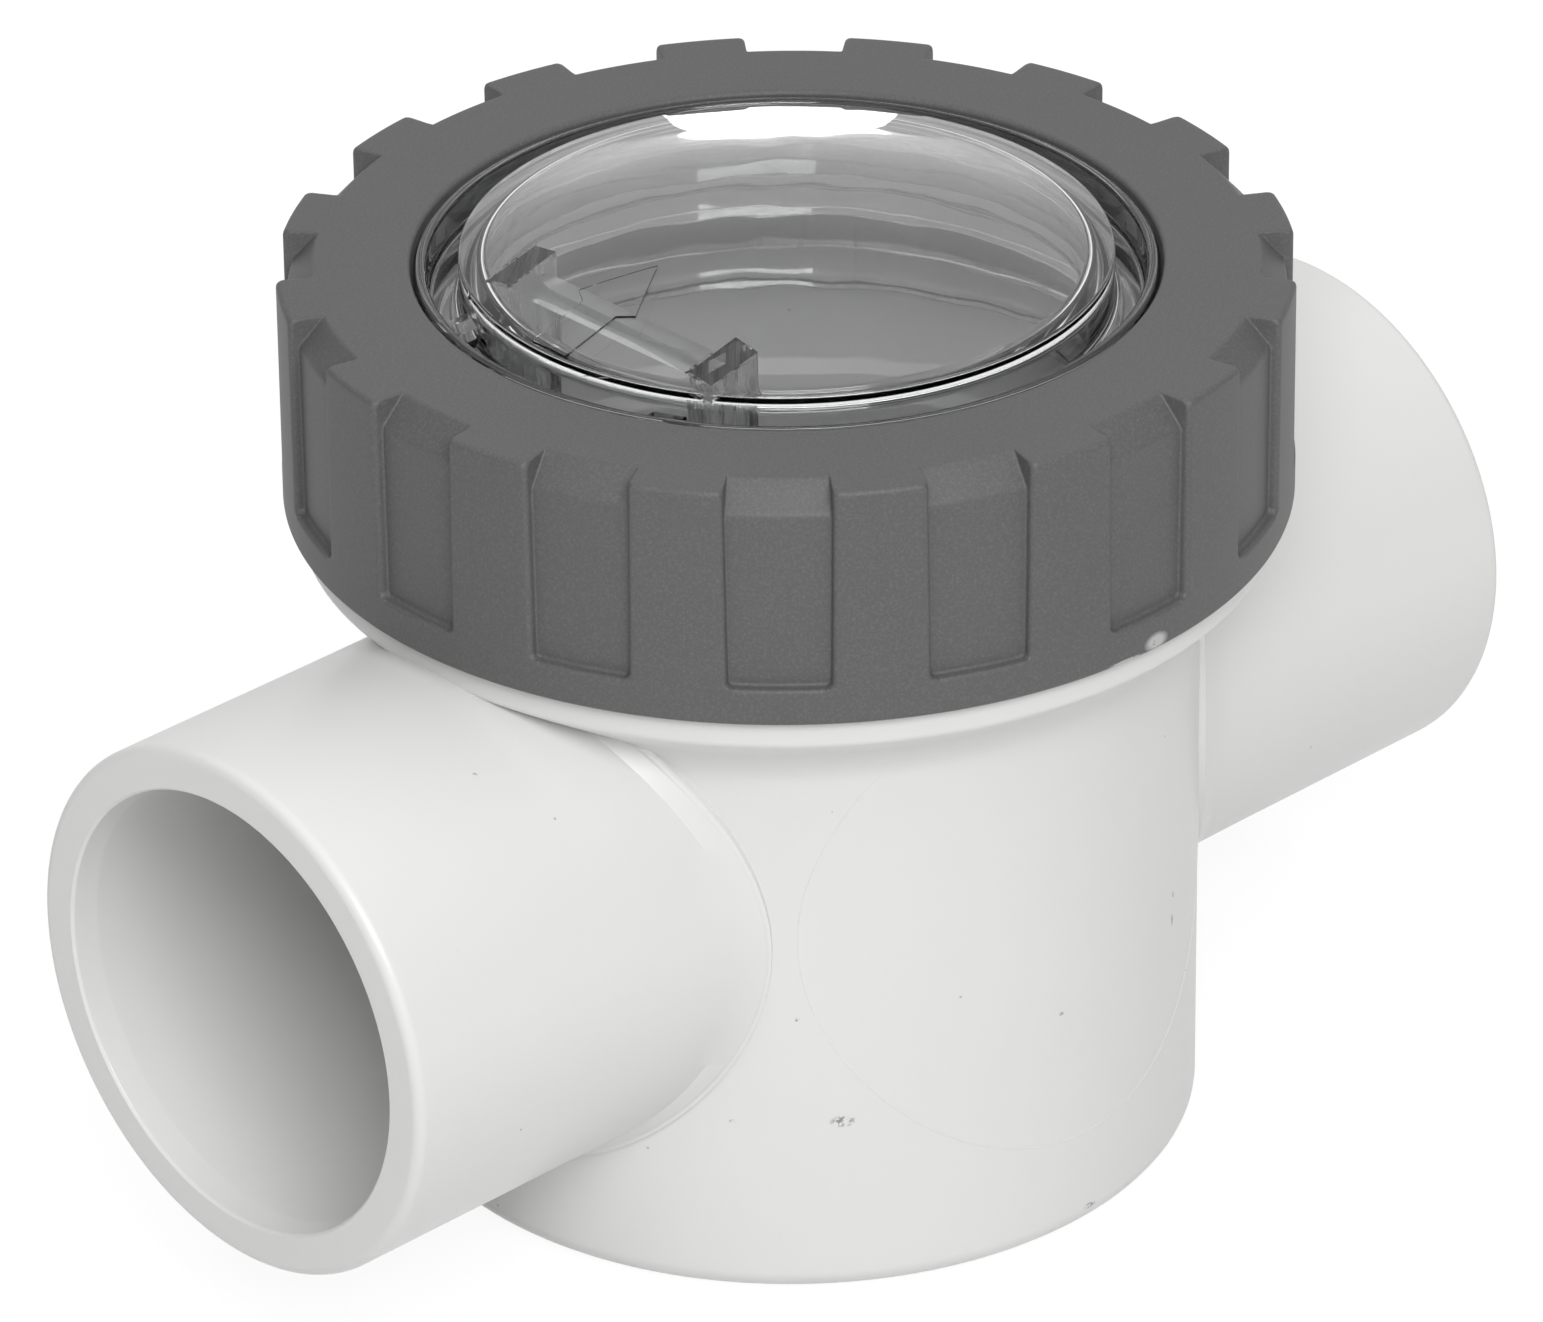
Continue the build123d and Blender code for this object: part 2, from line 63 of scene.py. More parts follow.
def linear(hex_colour):
    """An sRGB colour such as "#E4E4E2" as linear red, green and blue."""
    values = [int(hex_colour[i : i + 2], 16) / 255 for i in (1, 3, 5)]
    return tuple(v / 12.92 if v < 0.04045 else ((v + 0.055) / 1.055) ** 2.4 for v in values)


def millimetres(name, description, default):
    """A size property in millimetres."""
    return FloatProperty(name=name, description=description, default=default, min=0.0)


def number(name, description, default):
    """A property that is a plain number."""
    return FloatProperty(name=name, description=description, default=default)


def colour(name, description, hex_colour):
    """A colour property whose default is an sRGB hex value."""
    return FloatVectorProperty(
        name=name,
        description=description,
        default=linear(hex_colour),
        subtype="COLOR",
        size=3,
        min=0.0,
        max=1.0,
    )


class ValveBodySizes(PropertyGroup):
    """Sizes of the white moulding, in millimetres."""

    pot_radius: millimetres("Pot radius", "Outside radius of the round pot", 54.5)
    base_round: millimetres("Base round", "Rounding of the pot's bottom edge", 3.1)
    collar_radius: millimetres("Collar radius", "Radius of the collar under the ring", 64.7)
    collar_bottom: millimetres("Collar underside", "Height of the collar's lower edge", 88.2)
    collar_top: millimetres("Collar top", "Height of the collar's upper face", 91.9)
    neck_root: millimetres("Thread root", "Radius of the neck between the thread's turns", 56.3)
    neck_crest: millimetres("Thread crest", "Radius of the neck's plain lands", 57.5)
    neck_top: millimetres("Neck top", "Height of the face that the lid's flange lies on", 114.8)
    chamber_radius: millimetres("Chamber radius", "Inside radius of the pot", 48.0)
    port_radius: millimetres("Port radius", "Outside radius of both ports", 36.5)
    socket_radius: millimetres("Socket radius", "Radius of the pipe sockets", 30.2)
    half_length: millimetres("Half length", "Distance from the pot's axis to a port's mouth", 100.5)
    spigot_length: millimetres("Spigot length", "Straight part of a port's outside", 33.0)
    root_flare: millimetres("Root flare", "How much wider a port is at its root", 0.3)
    port_blend: millimetres("Port blend", "Radius of the fillet where a port leaves the pot", 2.0)
    mouth_round: millimetres("Mouth round", "Rounding of a port mouth's outer edge", 1.5)


class LockRingSizes(PropertyGroup):
    """Sizes of the grey ring, in millimetres."""

    radius: millimetres("Radius", "Outside radius over the grips", 66.8)
    hole_radius: millimetres("Hole radius", "Radius of the opening round the lid", 49.2)
    skirt_radius: millimetres("Skirt radius", "Inside radius between the thread's turns", 59.2)
    pockets: IntProperty(name="Pockets", description="Grip pockets round the ring", default=16)
    pocket_half_width: millimetres("Pocket half width", "Half of a pocket's width", 7.0)
    pocket_draft: millimetres("Pocket draft", "How much narrower each side is at the foot", 0.3)
    pocket_corner: millimetres("Pocket corner", "Radius of a pocket's lower corners", 0.9)
    grip_round: millimetres("Grip round", "Rounding of the grips' long edges", 0.8)


class ClearLidSizes(PropertyGroup):
    """Sizes of the clear lid, in millimetres."""

    rim_radius: millimetres("Rim radius", "Radius of the upstanding rim", 48.9)
    rim_top: millimetres("Rim top", "Height of the rim", 125.3)
    groove_radius: millimetres("Groove radius", "Radius of the groove's outer wall", 47.1)
    groove_floor: millimetres("Groove floor", "Height of the groove's floor", 120.5)
    dome_radius: millimetres("Dome radius", "Radius of the dome's edge", 42.9)
    dome_edge: millimetres("Dome edge", "Height of the dome's edge", 126.5)
    dome_rise: millimetres("Dome rise", "Height of the dome's crown over its edge", 7.7)
    straight_from: millimetres("Straight from", "Radius where the dome's curve runs out", 33.0)
    wall: millimetres("Wall", "Thickness of the dome", 3.2)
    plug_radius: millimetres("Plug radius", "Radius of the plug in the neck", 49.7)
    plug_bore: millimetres("Plug bore", "Inside radius of the plug", 44.2)
    plug_bottom: millimetres("Plug bottom", "Height of the plug's lower edge", 98.5)
    seal_height: millimetres("Seal height", "Height of the O-ring's middle", 106.6)
    arrow_height: millimetres("Arrow height", "How far the flow arrow stands off the dome", 0.3)


class ValveFinishes(PropertyGroup):
    """Base colours of the plastics, rubber and metal."""

    white: colour("White plastic", "Colour of the valve body", "#E3E3E2")
    grey: colour("Grey plastic", "Colour of the lock ring", "#5B5B5B")
    clear: colour("Clear plastic", "Tint of the lid", "#FCFCFC")
    rubber: colour("Rubber", "Colour of the seals", "#121213")
    steel: colour("Steel", "Colour of the pin, clips and screw", "#B4B5B7")
    acetal: colour("Acetal", "Colour of the hinge bushes", "#E4E2DA")


class StudioSettings(PropertyGroup):
    """The camera's place and the strength of the lights."""

    azimuth: number("Azimuth", "Camera's bearing in degrees", 226.362)
    elevation: number("Elevation", "Camera's height in degrees", 28.880)
    roll: number("Roll", "Camera's tilt in degrees", -0.643)
    distance: millimetres("Distance", "From the origin along the view", 1415.14)
    across: number("Across", "Offset across the view", 3.2054)
    upward: number("Upward", "Offset up the view", -56.9992)
    lens: number("Lens", "Focal length on a 36 mm sensor", 241.98)
    key: number("Key", "Key softbox in watts", 13.6)
    rear: number("Rear", "Low round lamp behind in watts", 0.09)
    ambient: number("Ambient", "Strength of the room's light", 0.15)
    sky: number("Sky", "Extra light from overhead", 1.05)
    ceiling: number("Ceiling", "Ceiling's brightness in gloss", 0.80)
    wings: number("Wings", "Brightness of the room's two sides", 0.15)


# Shared shapes, in millimetres until a piece is finished


def rounded(corners, steps=6):
    """Corners (x, y, radius) as points, with an arc at every corner that has a radius."""
    points = []
    for index, (x, y, radius) in enumerate(corners):
        here = Vector((x, y))
        if radius <= 0:
            points.append((x, y))
            continue
        before = (Vector(corners[index - 1][:2]) - here).normalized()
        after = (Vector(corners[(index + 1) % len(corners)][:2]) - here).normalized()
        half = before.angle(after) / 2
        centre = here + (before + after).normalized() * (radius / sin(half))
        start = here + before * (radius / tan(half)) - centre
        end = here + after * (radius / tan(half)) - centre
        first = atan2(start.y, start.x)
        turn = (atan2(end.y, end.x) - first + pi) % (2 * pi) - pi
        for step in range(steps + 1):
            angle = first + turn * step / steps
            points.append((centre.x + radius * cos(angle), centre.y + radius * sin(angle)))
    return points


def divided(points, longest=4.0):
    """The same outline with its long runs cut into even steps, apart from those on the axis."""
    result = []
    for (x, y), (next_x, next_y) in zip(points, points[1:] + points[:1]):
        count = 1
        if min(x, next_x) > 1:
            count = max(1, round(sqrt((next_x - x) ** 2 + (next_y - y) ** 2) / longest))
        across, up = next_x - x, next_y - y
        result += [(x + across * k / count, y + up * k / count) for k in range(count)]
    return result


def mesh_from(bm, name):
    """Closes a bmesh into mesh data with its faces pointing outwards."""
    bmesh.ops.recalc_face_normals(bm, faces=bm.faces)
    mesh = bpy.data.meshes.new(name)
    bm.to_mesh(mesh)
    bm.free()
    return mesh


def turned(profile, segments=192, along_x=0, height=0.0):
    """Turns (radius, height) points into a closed mesh about Z.

    With along_x 1 or -1 the axis then lies along X or against it, at the given height.
    """
    bm = bmesh.new()
    rings = []
    for radius, level in profile:
        if radius < 1e-5:
            rings.append([bm.verts.new((0, 0, level))])
            continue
        angles = [2 * pi * step / segments for step in range(segments)]
        rings.append([bm.verts.new((radius * cos(a), radius * sin(a), level)) for a in angles])
    for first, second in zip(rings, rings[1:] + rings[:1]):
        if len(first) == 1 and len(second) == 1:
            continue
        for step in range(segments):
            following = (step + 1) % segments
            corners = [first[step % len(first)], second[step % len(second)]]
            if len(second) > 1:
                corners.append(second[following])
            if len(first) > 1:
                corners.append(first[following])
            bm.faces.new(corners)
    if along_x:
        turn = Matrix.Rotation(radians(90) * along_x, 4, "Y")
        bmesh.ops.transform(bm, matrix=Matrix.Translation((0, 0, height)) @ turn, verts=bm.verts)
    return mesh_from(bm, "turned")


def prism(outline, bottom, top):
    """An upright prism over an outline in plan."""
    bm = bmesh.new()
    low = [bm.verts.new((x, y, bottom)) for x, y in outline]
    high = [bm.verts.new((x, y, top)) for x, y in outline]
    bm.faces.new(low)
    bm.faces.new(high)
    for index in range(len(outline)):
        following = (index + 1) % len(outline)
        bm.faces.new((low[index], low[following], high[following], high[index]))
    return mesh_from(bm, "prism")


def slab(low, high):
    """A box between two corners."""
    outline = [(low[0], low[1]), (high[0], low[1]), (high[0], high[1]), (low[0], high[1])]
    return prism(outline, low[2], high[2])


def shown(name, mesh):
    """Puts mesh data into the scene as an object."""
    thing = bpy.data.objects.new(name, mesh)
    bpy.context.scene.collection.objects.link(thing)
    return thing


def evaluated(thing):
    """The mesh that an object's modifiers give; the object is then removed."""
    bpy.context.view_layer.update()
    graph = bpy.context.evaluated_depsgraph_get()
    mesh = bpy.data.meshes.new_from_object(thing.evaluated_get(graph))
    bpy.data.objects.remove(thing)
    if not mesh.polygons:
        raise RuntimeError("a shape came out empty")
    return mesh


def combined(mesh, steps):
    """Joins, cuts or crosses closed meshes one after another."""
    base = shown("base", mesh)
    tools = []
    for operation, tool_mesh in steps:
        tool = shown("tool", tool_mesh)
        change = base.modifiers.new("change", "BOOLEAN")
        change.operation = operation
        change.solver = "MANIFOLD"
        change.object = tool
        tools.append(tool)
    result = evaluated(base)
    for tool in tools:
        bpy.data.objects.remove(tool)
    return result


def finish_piece(name, mesh, material, body, replaced=(), crease=32.0):
    """Scales a mesh to metres, shades it, and fastens the new object to its body."""
    mesh.transform(Matrix.Scale(MM, 4))
    mesh.materials.clear()
    mesh.materials.append(material)
    for face in mesh.polygons:
        face.material_index = 0
    mesh.shade_smooth()
    mesh.set_sharp_from_angle(angle=radians(crease))
    shading = shown(name, mesh)
    weighted = shading.modifiers.new("weighted", "WEIGHTED_NORMAL")
    weighted.keep_sharp = True
    piece = shown(name, evaluated(shading))
    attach(piece, body)
    if replaced:
        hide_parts(*replaced)


# Node trees


def feed(tree, node, inputs):
    """Sets inputs, each to a value, an output, or a node, which gives its first output."""
    for key, value in inputs.items():
        socket = node.inputs[key]
        if isinstance(value, bpy.types.Node):
            value = value.outputs[0]
        if isinstance(value, bpy.types.NodeSocket):
            tree.links.new(value, socket)
        else:
            socket.default_value = (*value, 1.0) if socket.type == "RGBA" else value


def add(tree, kind, inputs=None, **settings):
    """Adds a node with its settings and inputs."""
    node = tree.nodes.new(kind)
    for key, value in settings.items():
        setattr(node, key, value)
    feed(tree, node, inputs or {})
    return node


def new_shape_tree(name, sockets):
    """A Geometry Nodes tree with a mesh in and out, named inputs and a material."""
    tree = bpy.data.node_groups.new(name, "GeometryNodeTree")
    for way in ("INPUT", "OUTPUT"):
        tree.interface.new_socket("Geometry", in_out=way, socket_type="NodeSocketGeometry")
    for label, kind in {**sockets, "Material": "Material"}.items():
        tree.interface.new_socket(label, in_out="INPUT", socket_type="NodeSocket" + kind)
    return tree, add(tree, "NodeGroupInput").outputs


def close_shape_tree(tree, given, shape):
    """Ends a shape tree: the shape takes the given material and goes out."""
    paint = {"Geometry": shape, "Material": given["Material"]}
    add(tree, "NodeGroupOutput", {0: add(tree, "GeometryNodeSetMaterial", paint)})
    return tree


def shaped(tree, values, start=None):
    """Runs a shape tree with values for its named inputs and returns the mesh."""
    thing = shown("shape", start or bpy.data.meshes.new("start"))
    modifier = thing.modifiers.new("shape", "NODES")
    modifier.node_group = tree
    for item in tree.interface.items_tree:
        if item.in_out == "INPUT" and item.name in values:
            modifier[item.identifier] = values[item.name]
    return evaluated(thing)


def repeat_tree():
    """Repeats a sector about Z and welds the copies into one closed ring."""
    tree, given = new_shape_tree("Repeat round the axis", {"Count": "Int"})
    points = add(tree, "GeometryNodePoints", {"Count": given["Count"]})
    index = add(tree, "GeometryNodeInputIndex")
    step = add(tree, "ShaderNodeMath", {0: 2 * pi, 1: given["Count"]}, operation="DIVIDE")
    angle = add(tree, "ShaderNodeMath", {0: index, 1: step}, operation="MULTIPLY")
    turn = add(tree, "FunctionNodeAxisAngleToRotation", {"Axis": (0, 0, 1), "Angle": angle})
    sectors = {"Points": points, "Instance": given["Geometry"], "Rotation": turn}
    copies = add(tree, "GeometryNodeInstanceOnPoints", sectors)
    real = add(tree, "GeometryNodeRealizeInstances", {"Geometry": copies})
    welded = add(tree, "GeometryNodeMergeByDistance", {"Geometry": real, "Distance": WELD})
    return close_shape_tree(tree, given, welded)


def thread_tree():
    """Sweeps a ridge with sloping flanks along a helix."""
    sizes = ("Radius", "Start", "Pitch", "Turns", "Depth", "Root width", "Crest width")
    tree, given = new_shape_tree("Thread ridge", dict.fromkeys(sizes, "Float"))
    rise = add(tree, "ShaderNodeMath", {0: given["Pitch"], 1: given["Turns"]}, operation="MULTIPLY")
    spiral = {"Resolution": 128, "Rotations": given["Turns"], "Height": rise}
    spiral |= {"Start Radius": given["Radius"], "End Radius": given["Radius"]}
    helix = add(tree, "GeometryNodeCurveSpiral", spiral)
    level = add(tree, "ShaderNodeCombineXYZ", {"Z": given["Start"]})
    placed = add(tree, "GeometryNodeTransform", {"Geometry": helix, "Translation": level})
    upright = add(tree, "GeometryNodeSetCurveNormal", {"Curve": placed}, mode="Z_UP")
    section = {"Height": given["Depth"], "Offset": 0.0}
    section |= {"Bottom Width": given["Root width"], "Top Width": given["Crest width"]}
    flank = add(tree, "GeometryNodeCurvePrimitiveQuadrilateral", section, mode="TRAPEZOID")
    outwards = {"Geometry": flank, "Rotation": (0, 0, radians(-90))}
    turned_flank = add(tree, "GeometryNodeTransform", outwards)
    sweep = {"Curve": upright, "Profile Curve": turned_flank, "Fill Caps": True}
    return close_shape_tree(tree, given, add(tree, "GeometryNodeCurveToMesh", sweep))


def witness_tree():
    """Lays a fine round bead on the pot's side, where two parts of the mould met."""
    sockets = {"Pot radius": "Float", "Line radius": "Float", "Centre": "Vector", "Bead": "Float"}
    tree, given = new_shape_tree("Mould witness line", sockets)
    line = {"Resolution": 360, "Radius": given["Line radius"]}
    circle = add(tree, "GeometryNodeCurvePrimitiveCircle", line)
    place = add(tree, "GeometryNodeInputPosition")
    flat = add(tree, "ShaderNodeSeparateXYZ", {0: place}).outputs
    centre = add(tree, "ShaderNodeSeparateXYZ", {0: given["Centre"]}).outputs
    x = add(tree, "ShaderNodeMath", {0: flat[0], 1: centre[0]}, operation="ADD")
    z = add(tree, "ShaderNodeMath", {0: flat[1], 1: centre[2]}, operation="ADD")
    x_square = add(tree, "ShaderNodeMath", {0: x, 1: 2.0}, operation="POWER")
    pot_square = add(tree, "ShaderNodeMath", {0: given["Pot radius"], 1: 2.0}, operation="POWER")
    depth = add(tree, "ShaderNodeMath", {0: pot_square, 1: x_square}, operation="SUBTRACT")
    root = add(tree, "ShaderNodeMath", {0: depth}, operation="SQRT")
    y = add(tree, "ShaderNodeMath", {0: root, 1: -1.0}, operation="MULTIPLY")
    wrapped = add(tree, "ShaderNodeCombineXYZ", {"X": x, "Y": y, "Z": z})
    laid = add(tree, "GeometryNodeSetPosition", {"Geometry": circle, "Position": wrapped})
    bead = add(tree, "GeometryNodeCurvePrimitiveCircle", {"Resolution": 8, "Radius": given["Bead"]})
    sweep = {"Curve": laid, "Profile Curve": bead}
    return close_shape_tree(tree, given, add(tree, "GeometryNodeCurveToMesh", sweep))


# Materials

UPVC_IOR = 1.53
POLYCARBONATE_IOR = 1.585

# Small marks on the valve in the shop: place on the surface and half-size, in millimetres
BODY_MARKS = (
    ((-33.0, -43.4, 26.2), (1.9, 1.6, 0.9)),
    ((21.9, -49.9, 36.7), (0.35, 0.3, 1.0)),
    ((22.2, -49.8, 40.4), (0.25, 0.25, 0.7)),
    ((-3.6, -54.4, 34.8), (0.5, 0.4, 0.3)),
    ((-43.2, -33.2, 26.2), (0.5, 0.5, 0.3)),
    ((-37.4, -39.6, 41.9), (0.35, 0.3, 0.4)),
    ((-73.2, -18.2, 84.2), (0.3, 0.4, 0.4)),
    ((2.0, -54.5, 2.9), (1.2, 0.5, 0.5)),
)
RING_MARKS = (
    ((0.9, -66.8, 93.7), (2.1, 0.6, 1.3)),
    ((-4.5, -66.6, 92.8), (3.4, 0.6, 0.35)),
    ((-66.8, -1.4, 117.2), (0.4, 0.5, 0.8)),
)


def new_material(name):
    """A node material, its tree, its Principled shader and the piece's own coordinates."""
    material = bpy.data.materials.new(name)
    material.use_nodes = True
    tree = material.node_tree
    place = add(tree, "ShaderNodeTexCoord").outputs["Object"]
    return material, tree, tree.nodes["Principled BSDF"], place


def pattern(place, size, detail):
    """A texture's inputs for features about this many millimetres wide."""
    return {"Vector": place, "Scale": 1.0 / (size * MM), "Detail": detail}


def layered(tree, base, *layers):
    """A colour with others laid over it, each as far as its mask says."""
    for mask, colour_above in layers:
        # Inputs 6 and 7 of a colour mix are its two colours, and output 2 is what they give
        mix = add(tree, "ShaderNodeMix", {0: mask, 6: base, 7: colour_above}, data_type="RGBA")
        base = mix.outputs[2]
    return base


def mark_mask(tree, place, marks, raggedness):
    """1 inside small ragged patches at the given places, 0 elsewhere."""
    ragged = add(tree, "ShaderNodeTexNoise", pattern(place, 0.5, 4.0))
    patches = 0.0
    for centre, half in marks:
        shift = {0: place, 1: Vector(centre) * MM}
        offset = add(tree, "ShaderNodeVectorMath", shift, operation="SUBTRACT")
        stretch = {0: offset, 1: [1 / (value * MM) for value in half]}
        stretched = add(tree, "ShaderNodeVectorMath", stretch, operation="MULTIPLY")
        away = add(tree, "ShaderNodeVectorMath", {0: stretched}, operation="LENGTH")
        fade = {"Value": away.outputs["Value"], "From Min": 0.55, "From Max": 1.1}
        patch = add(tree, "ShaderNodeMapRange", {**fade, "To Min": 1.0, "To Max": 0.0})
        patches = add(tree, "ShaderNodeMath", {0: patches, 1: patch}, operation="MAXIMUM")
    edge = {"Value": ragged, "From Min": raggedness, "From Max": raggedness + 0.12}
    torn = add(tree, "ShaderNodeMapRange", edge)
    return add(tree, "ShaderNodeMath", {0: patches, 1: torn}, operation="MULTIPLY")


def white_upvc(finishes):
    """Injection-moulded white uPVC: an even, slightly glossy skin with a faint orange peel."""
    # The melt leaves soft patches about 40 mm wide that are a shade darker, and stray dark specks
    material, tree, shader, place = new_material("white_upvc")
    patches = add(tree, "ShaderNodeTexNoise", pattern(place, 40, 2.0))
    shade = [value * 0.955 for value in finishes.white]
    cell, speck, strength = 9, 0.022, 0.45  # cell in mm, and the speck's radius as a share of it
    cells = add(tree, "ShaderNodeTexVoronoi", pattern(place, cell, 0.0))
    picked = add(tree, "ShaderNodeMath", {0: cells, 1: speck}, operation="LESS_THAN")
    specks = add(tree, "ShaderNodeMath", {0: picked, 1: strength}, operation="MULTIPLY")
    marks = mark_mask(tree, place, BODY_MARKS, 0.44)
    layers = ((patches, shade), (specks, linear("#6F6D69")), (marks, linear("#8A8A8A")))
    # The orange peel is 1.6 mm wide and changes the gloss too
    peel = add(tree, "ShaderNodeTexNoise", pattern(place, 1.6, 2.0))
    gloss = add(tree, "ShaderNodeMapRange", {"Value": peel, "To Min": 0.30, "To Max": 0.40})
    bump = add(tree, "ShaderNodeBump", {"Strength": 0.12, "Distance": 0.03 * MM, "Height": peel})
    feed(tree, shader, {"Base Color": layered(tree, finishes.white, *layers), "Roughness": gloss})
    feed(tree, shader, {"Normal": bump, "IOR": UPVC_IOR})
    return material


def grey_upvc(finishes):
    """Injection-moulded grey uPVC from a lightly eroded mould, so the gloss is soft and broken."""
    # Erosion grain is 0.1 to 0.2 mm; it is drawn 0.35 mm wide, so that the render shows it
    material, tree, shader, place = new_material("grey_upvc")
    patches = add(tree, "ShaderNodeTexNoise", pattern(place, 26, 3.0))
    shade = [value * 0.9 for value in finishes.grey]
    grain = add(tree, "ShaderNodeTexNoise", pattern(place, 0.35, 2.0))
    dust = {"Value": grain, "From Min": 0.45, "From Max": 0.75, "To Max": 0.22}
    dusty = add(tree, "ShaderNodeMapRange", dust)
    marks = mark_mask(tree, place, RING_MARKS, 0.3)
    layers = ((patches, shade), (dusty, linear("#8A8A89")), (marks, linear("#B9B9B8")))
    gloss = add(tree, "ShaderNodeMapRange", {"Value": grain, "To Min": 0.46, "To Max": 0.6})
    bump = add(tree, "ShaderNodeBump", {"Strength": 0.25, "Distance": 0.03 * MM, "Height": grain})
    feed(tree, shader, {"Base Color": layered(tree, finishes.grey, *layers), "Roughness": gloss})
    feed(tree, shader, {"Normal": bump, "IOR": UPVC_IOR, "Specular IOR Level": 0.4})
    return material


def clear_polycarbonate(finishes):
    """Injection-moulded clear polycarbonate: glass-like, with a strong sparkle at its edges."""
    # The melt's flow leaves shallow ripples about 14 mm wide
    material, tree, shader, place = new_material("moulded_polycarbonate")
    flow = add(tree, "ShaderNodeTexNoise", pattern(place, 14, 1.0))
    tint = layered(tree, finishes.clear, (flow, linear("#F8F9F9")))
    ripple = add(tree, "ShaderNodeBump", {"Strength": 0.35, "Distance": 0.2 * MM, "Height": flow})
    # Masks for the legs and the bar between them, a little larger than they are
    leg_y, half_leg, half_bar = 18.6 * MM, 2.4 * MM, 16.2 * MM
    leg_x, half_length, leg_top = -29.0 * MM, 4.6 * MM, 126.3 * MM
    axes = add(tree, "ShaderNodeSeparateXYZ", {0: place}).outputs
    aside = add(tree, "ShaderNodeMath", {0: axes[1]}, operation="ABSOLUTE")
    across = add(tree, "ShaderNodeMath", {0: aside, 1: leg_y, 2: half_leg}, operation="COMPARE")
    between = add(tree, "ShaderNodeMath", {0: aside, 1: half_bar}, operation="LESS_THAN")
    length = {0: axes[0], 1: leg_x, 2: half_length}
    along = add(tree, "ShaderNodeMath", length, operation="COMPARE")
    below = add(tree, "ShaderNodeMath", {0: axes[2], 1: leg_top}, operation="LESS_THAN")
    inside = add(tree, "ShaderNodeMath", {0: along, 1: below}, operation="MULTIPLY")
    on_legs = add(tree, "ShaderNodeMath", {0: across, 1: inside}, operation="MULTIPLY")
    on_bar = add(tree, "ShaderNodeMath", {0: between, 1: inside}, operation="MULTIPLY")
    # The legs' sides keep upright draw lines about 1.5 mm apart, which break up what they show
    upright = add(tree, "ShaderNodeMapping", {"Vector": place, "Scale": (1.0, 1.0, 0.08)})
    lines = add(tree, "ShaderNodeTexNoise", pattern(upright, 1.5, 1.0))
    drawn = add(tree, "ShaderNodeMath", {0: lines, 1: on_legs}, operation="MULTIPLY")
    frost = {"Value": drawn, "From Min": 0.35, "From Max": 0.65, "To Min": 0.02, "To Max": 0.5}
    frosted = add(tree, "ShaderNodeMapRange", frost)
    groove = {"Distance": 0.9 * MM, "Height": drawn, "Normal": ripple}
    streaks = add(tree, "ShaderNodeBump", groove)
    # The bar has a dull skin, so that no lamp shows in it
    dull = add(tree, "ShaderNodeMath", {0: on_bar, 1: 0.3}, operation="MULTIPLY")
    skin = add(tree, "ShaderNodeMath", {0: frosted, 1: dull}, operation="MAXIMUM")
    feed(tree, shader, {"Base Color": tint, "Roughness": skin, "Normal": streaks})
    feed(tree, shader, {"Transmission Weight": 1.0, "IOR": POLYCARBONATE_IOR})
    return material


def epdm_rubber(finishes):
    """Moulded EPDM rubber: dull black with a fine matt skin."""
    # The skin's texture is about 0.1 mm; it is drawn 0.3 mm wide
    material, tree, shader, place = new_material("moulded_epdm")
    skin = add(tree, "ShaderNodeTexNoise", pattern(place, 0.3, 3.0))
    bloom = [value * 1.9 for value in finishes.rubber]
    bump = add(tree, "ShaderNodeBump", {"Strength": 0.3, "Distance": 0.03 * MM, "Height": skin})
    black = layered(tree, finishes.rubber, (skin, bloom))
    feed(tree, shader, {"Base Color": black, "Roughness": 0.6, "Normal": bump})
    return material


def stainless_steel(finishes):
    """Drawn and turned stainless steel: bright, with fine lines round each piece."""
    # Drawing lines are about 0.05 mm apart; they are drawn 0.25 mm apart and ten times as long
    material, tree, shader, place = new_material("drawn_stainless")
    along_y = add(tree, "ShaderNodeMapping", {"Vector": place, "Scale": (4.0, 0.4, 4.0)})
    lines = add(tree, "ShaderNodeTexNoise", pattern(along_y, 1.0, 3.0))
    dark = [value * 0.8 for value in finishes.steel]
    gloss = add(tree, "ShaderNodeMapRange", {"Value": lines, "To Min": 0.22, "To Max": 0.38})
    bright = layered(tree, finishes.steel, (lines, dark))
    feed(tree, shader, {"Base Color": bright, "Metallic": 1.0, "Roughness": gloss})
    return material


def acetal(finishes):
    """Turned natural acetal: waxy off-white with faint tool rings."""
    # Tool rings follow the feed, about 0.15 mm; they are drawn 0.8 mm apart
    material, tree, shader, place = new_material("turned_acetal")
    bands = {**pattern(place, 0.4 * 2 * pi, 2.0), "Distortion": 0.4}
    rings = add(tree, "ShaderNodeTexWave", bands, bands_direction="Y").outputs["Fac"]
    dark = [value * 0.93 for value in finishes.acetal]
    bump = add(tree, "ShaderNodeBump", {"Strength": 0.2, "Distance": 0.02 * MM, "Height": rings})
    tone = layered(tree, finishes.acetal, (rings, dark))
    feed(tree, shader, {"Base Color": tone, "Roughness": 0.42, "Normal": bump})
    return material


def finish_of(name):
    """A material made once and shared by every piece of that plastic, rubber or metal."""
    makers = {
        "white_upvc": white_upvc,
        "grey_upvc": grey_upvc,
        "moulded_polycarbonate": clear_polycarbonate,
        "moulded_epdm": epdm_rubber,
        "drawn_stainless": stainless_steel,
        "turned_acetal": acetal,
    }
    found = bpy.data.materials.get(name)
    return found or makers[name](bpy.context.scene.valve_finishes)


# The white moulding


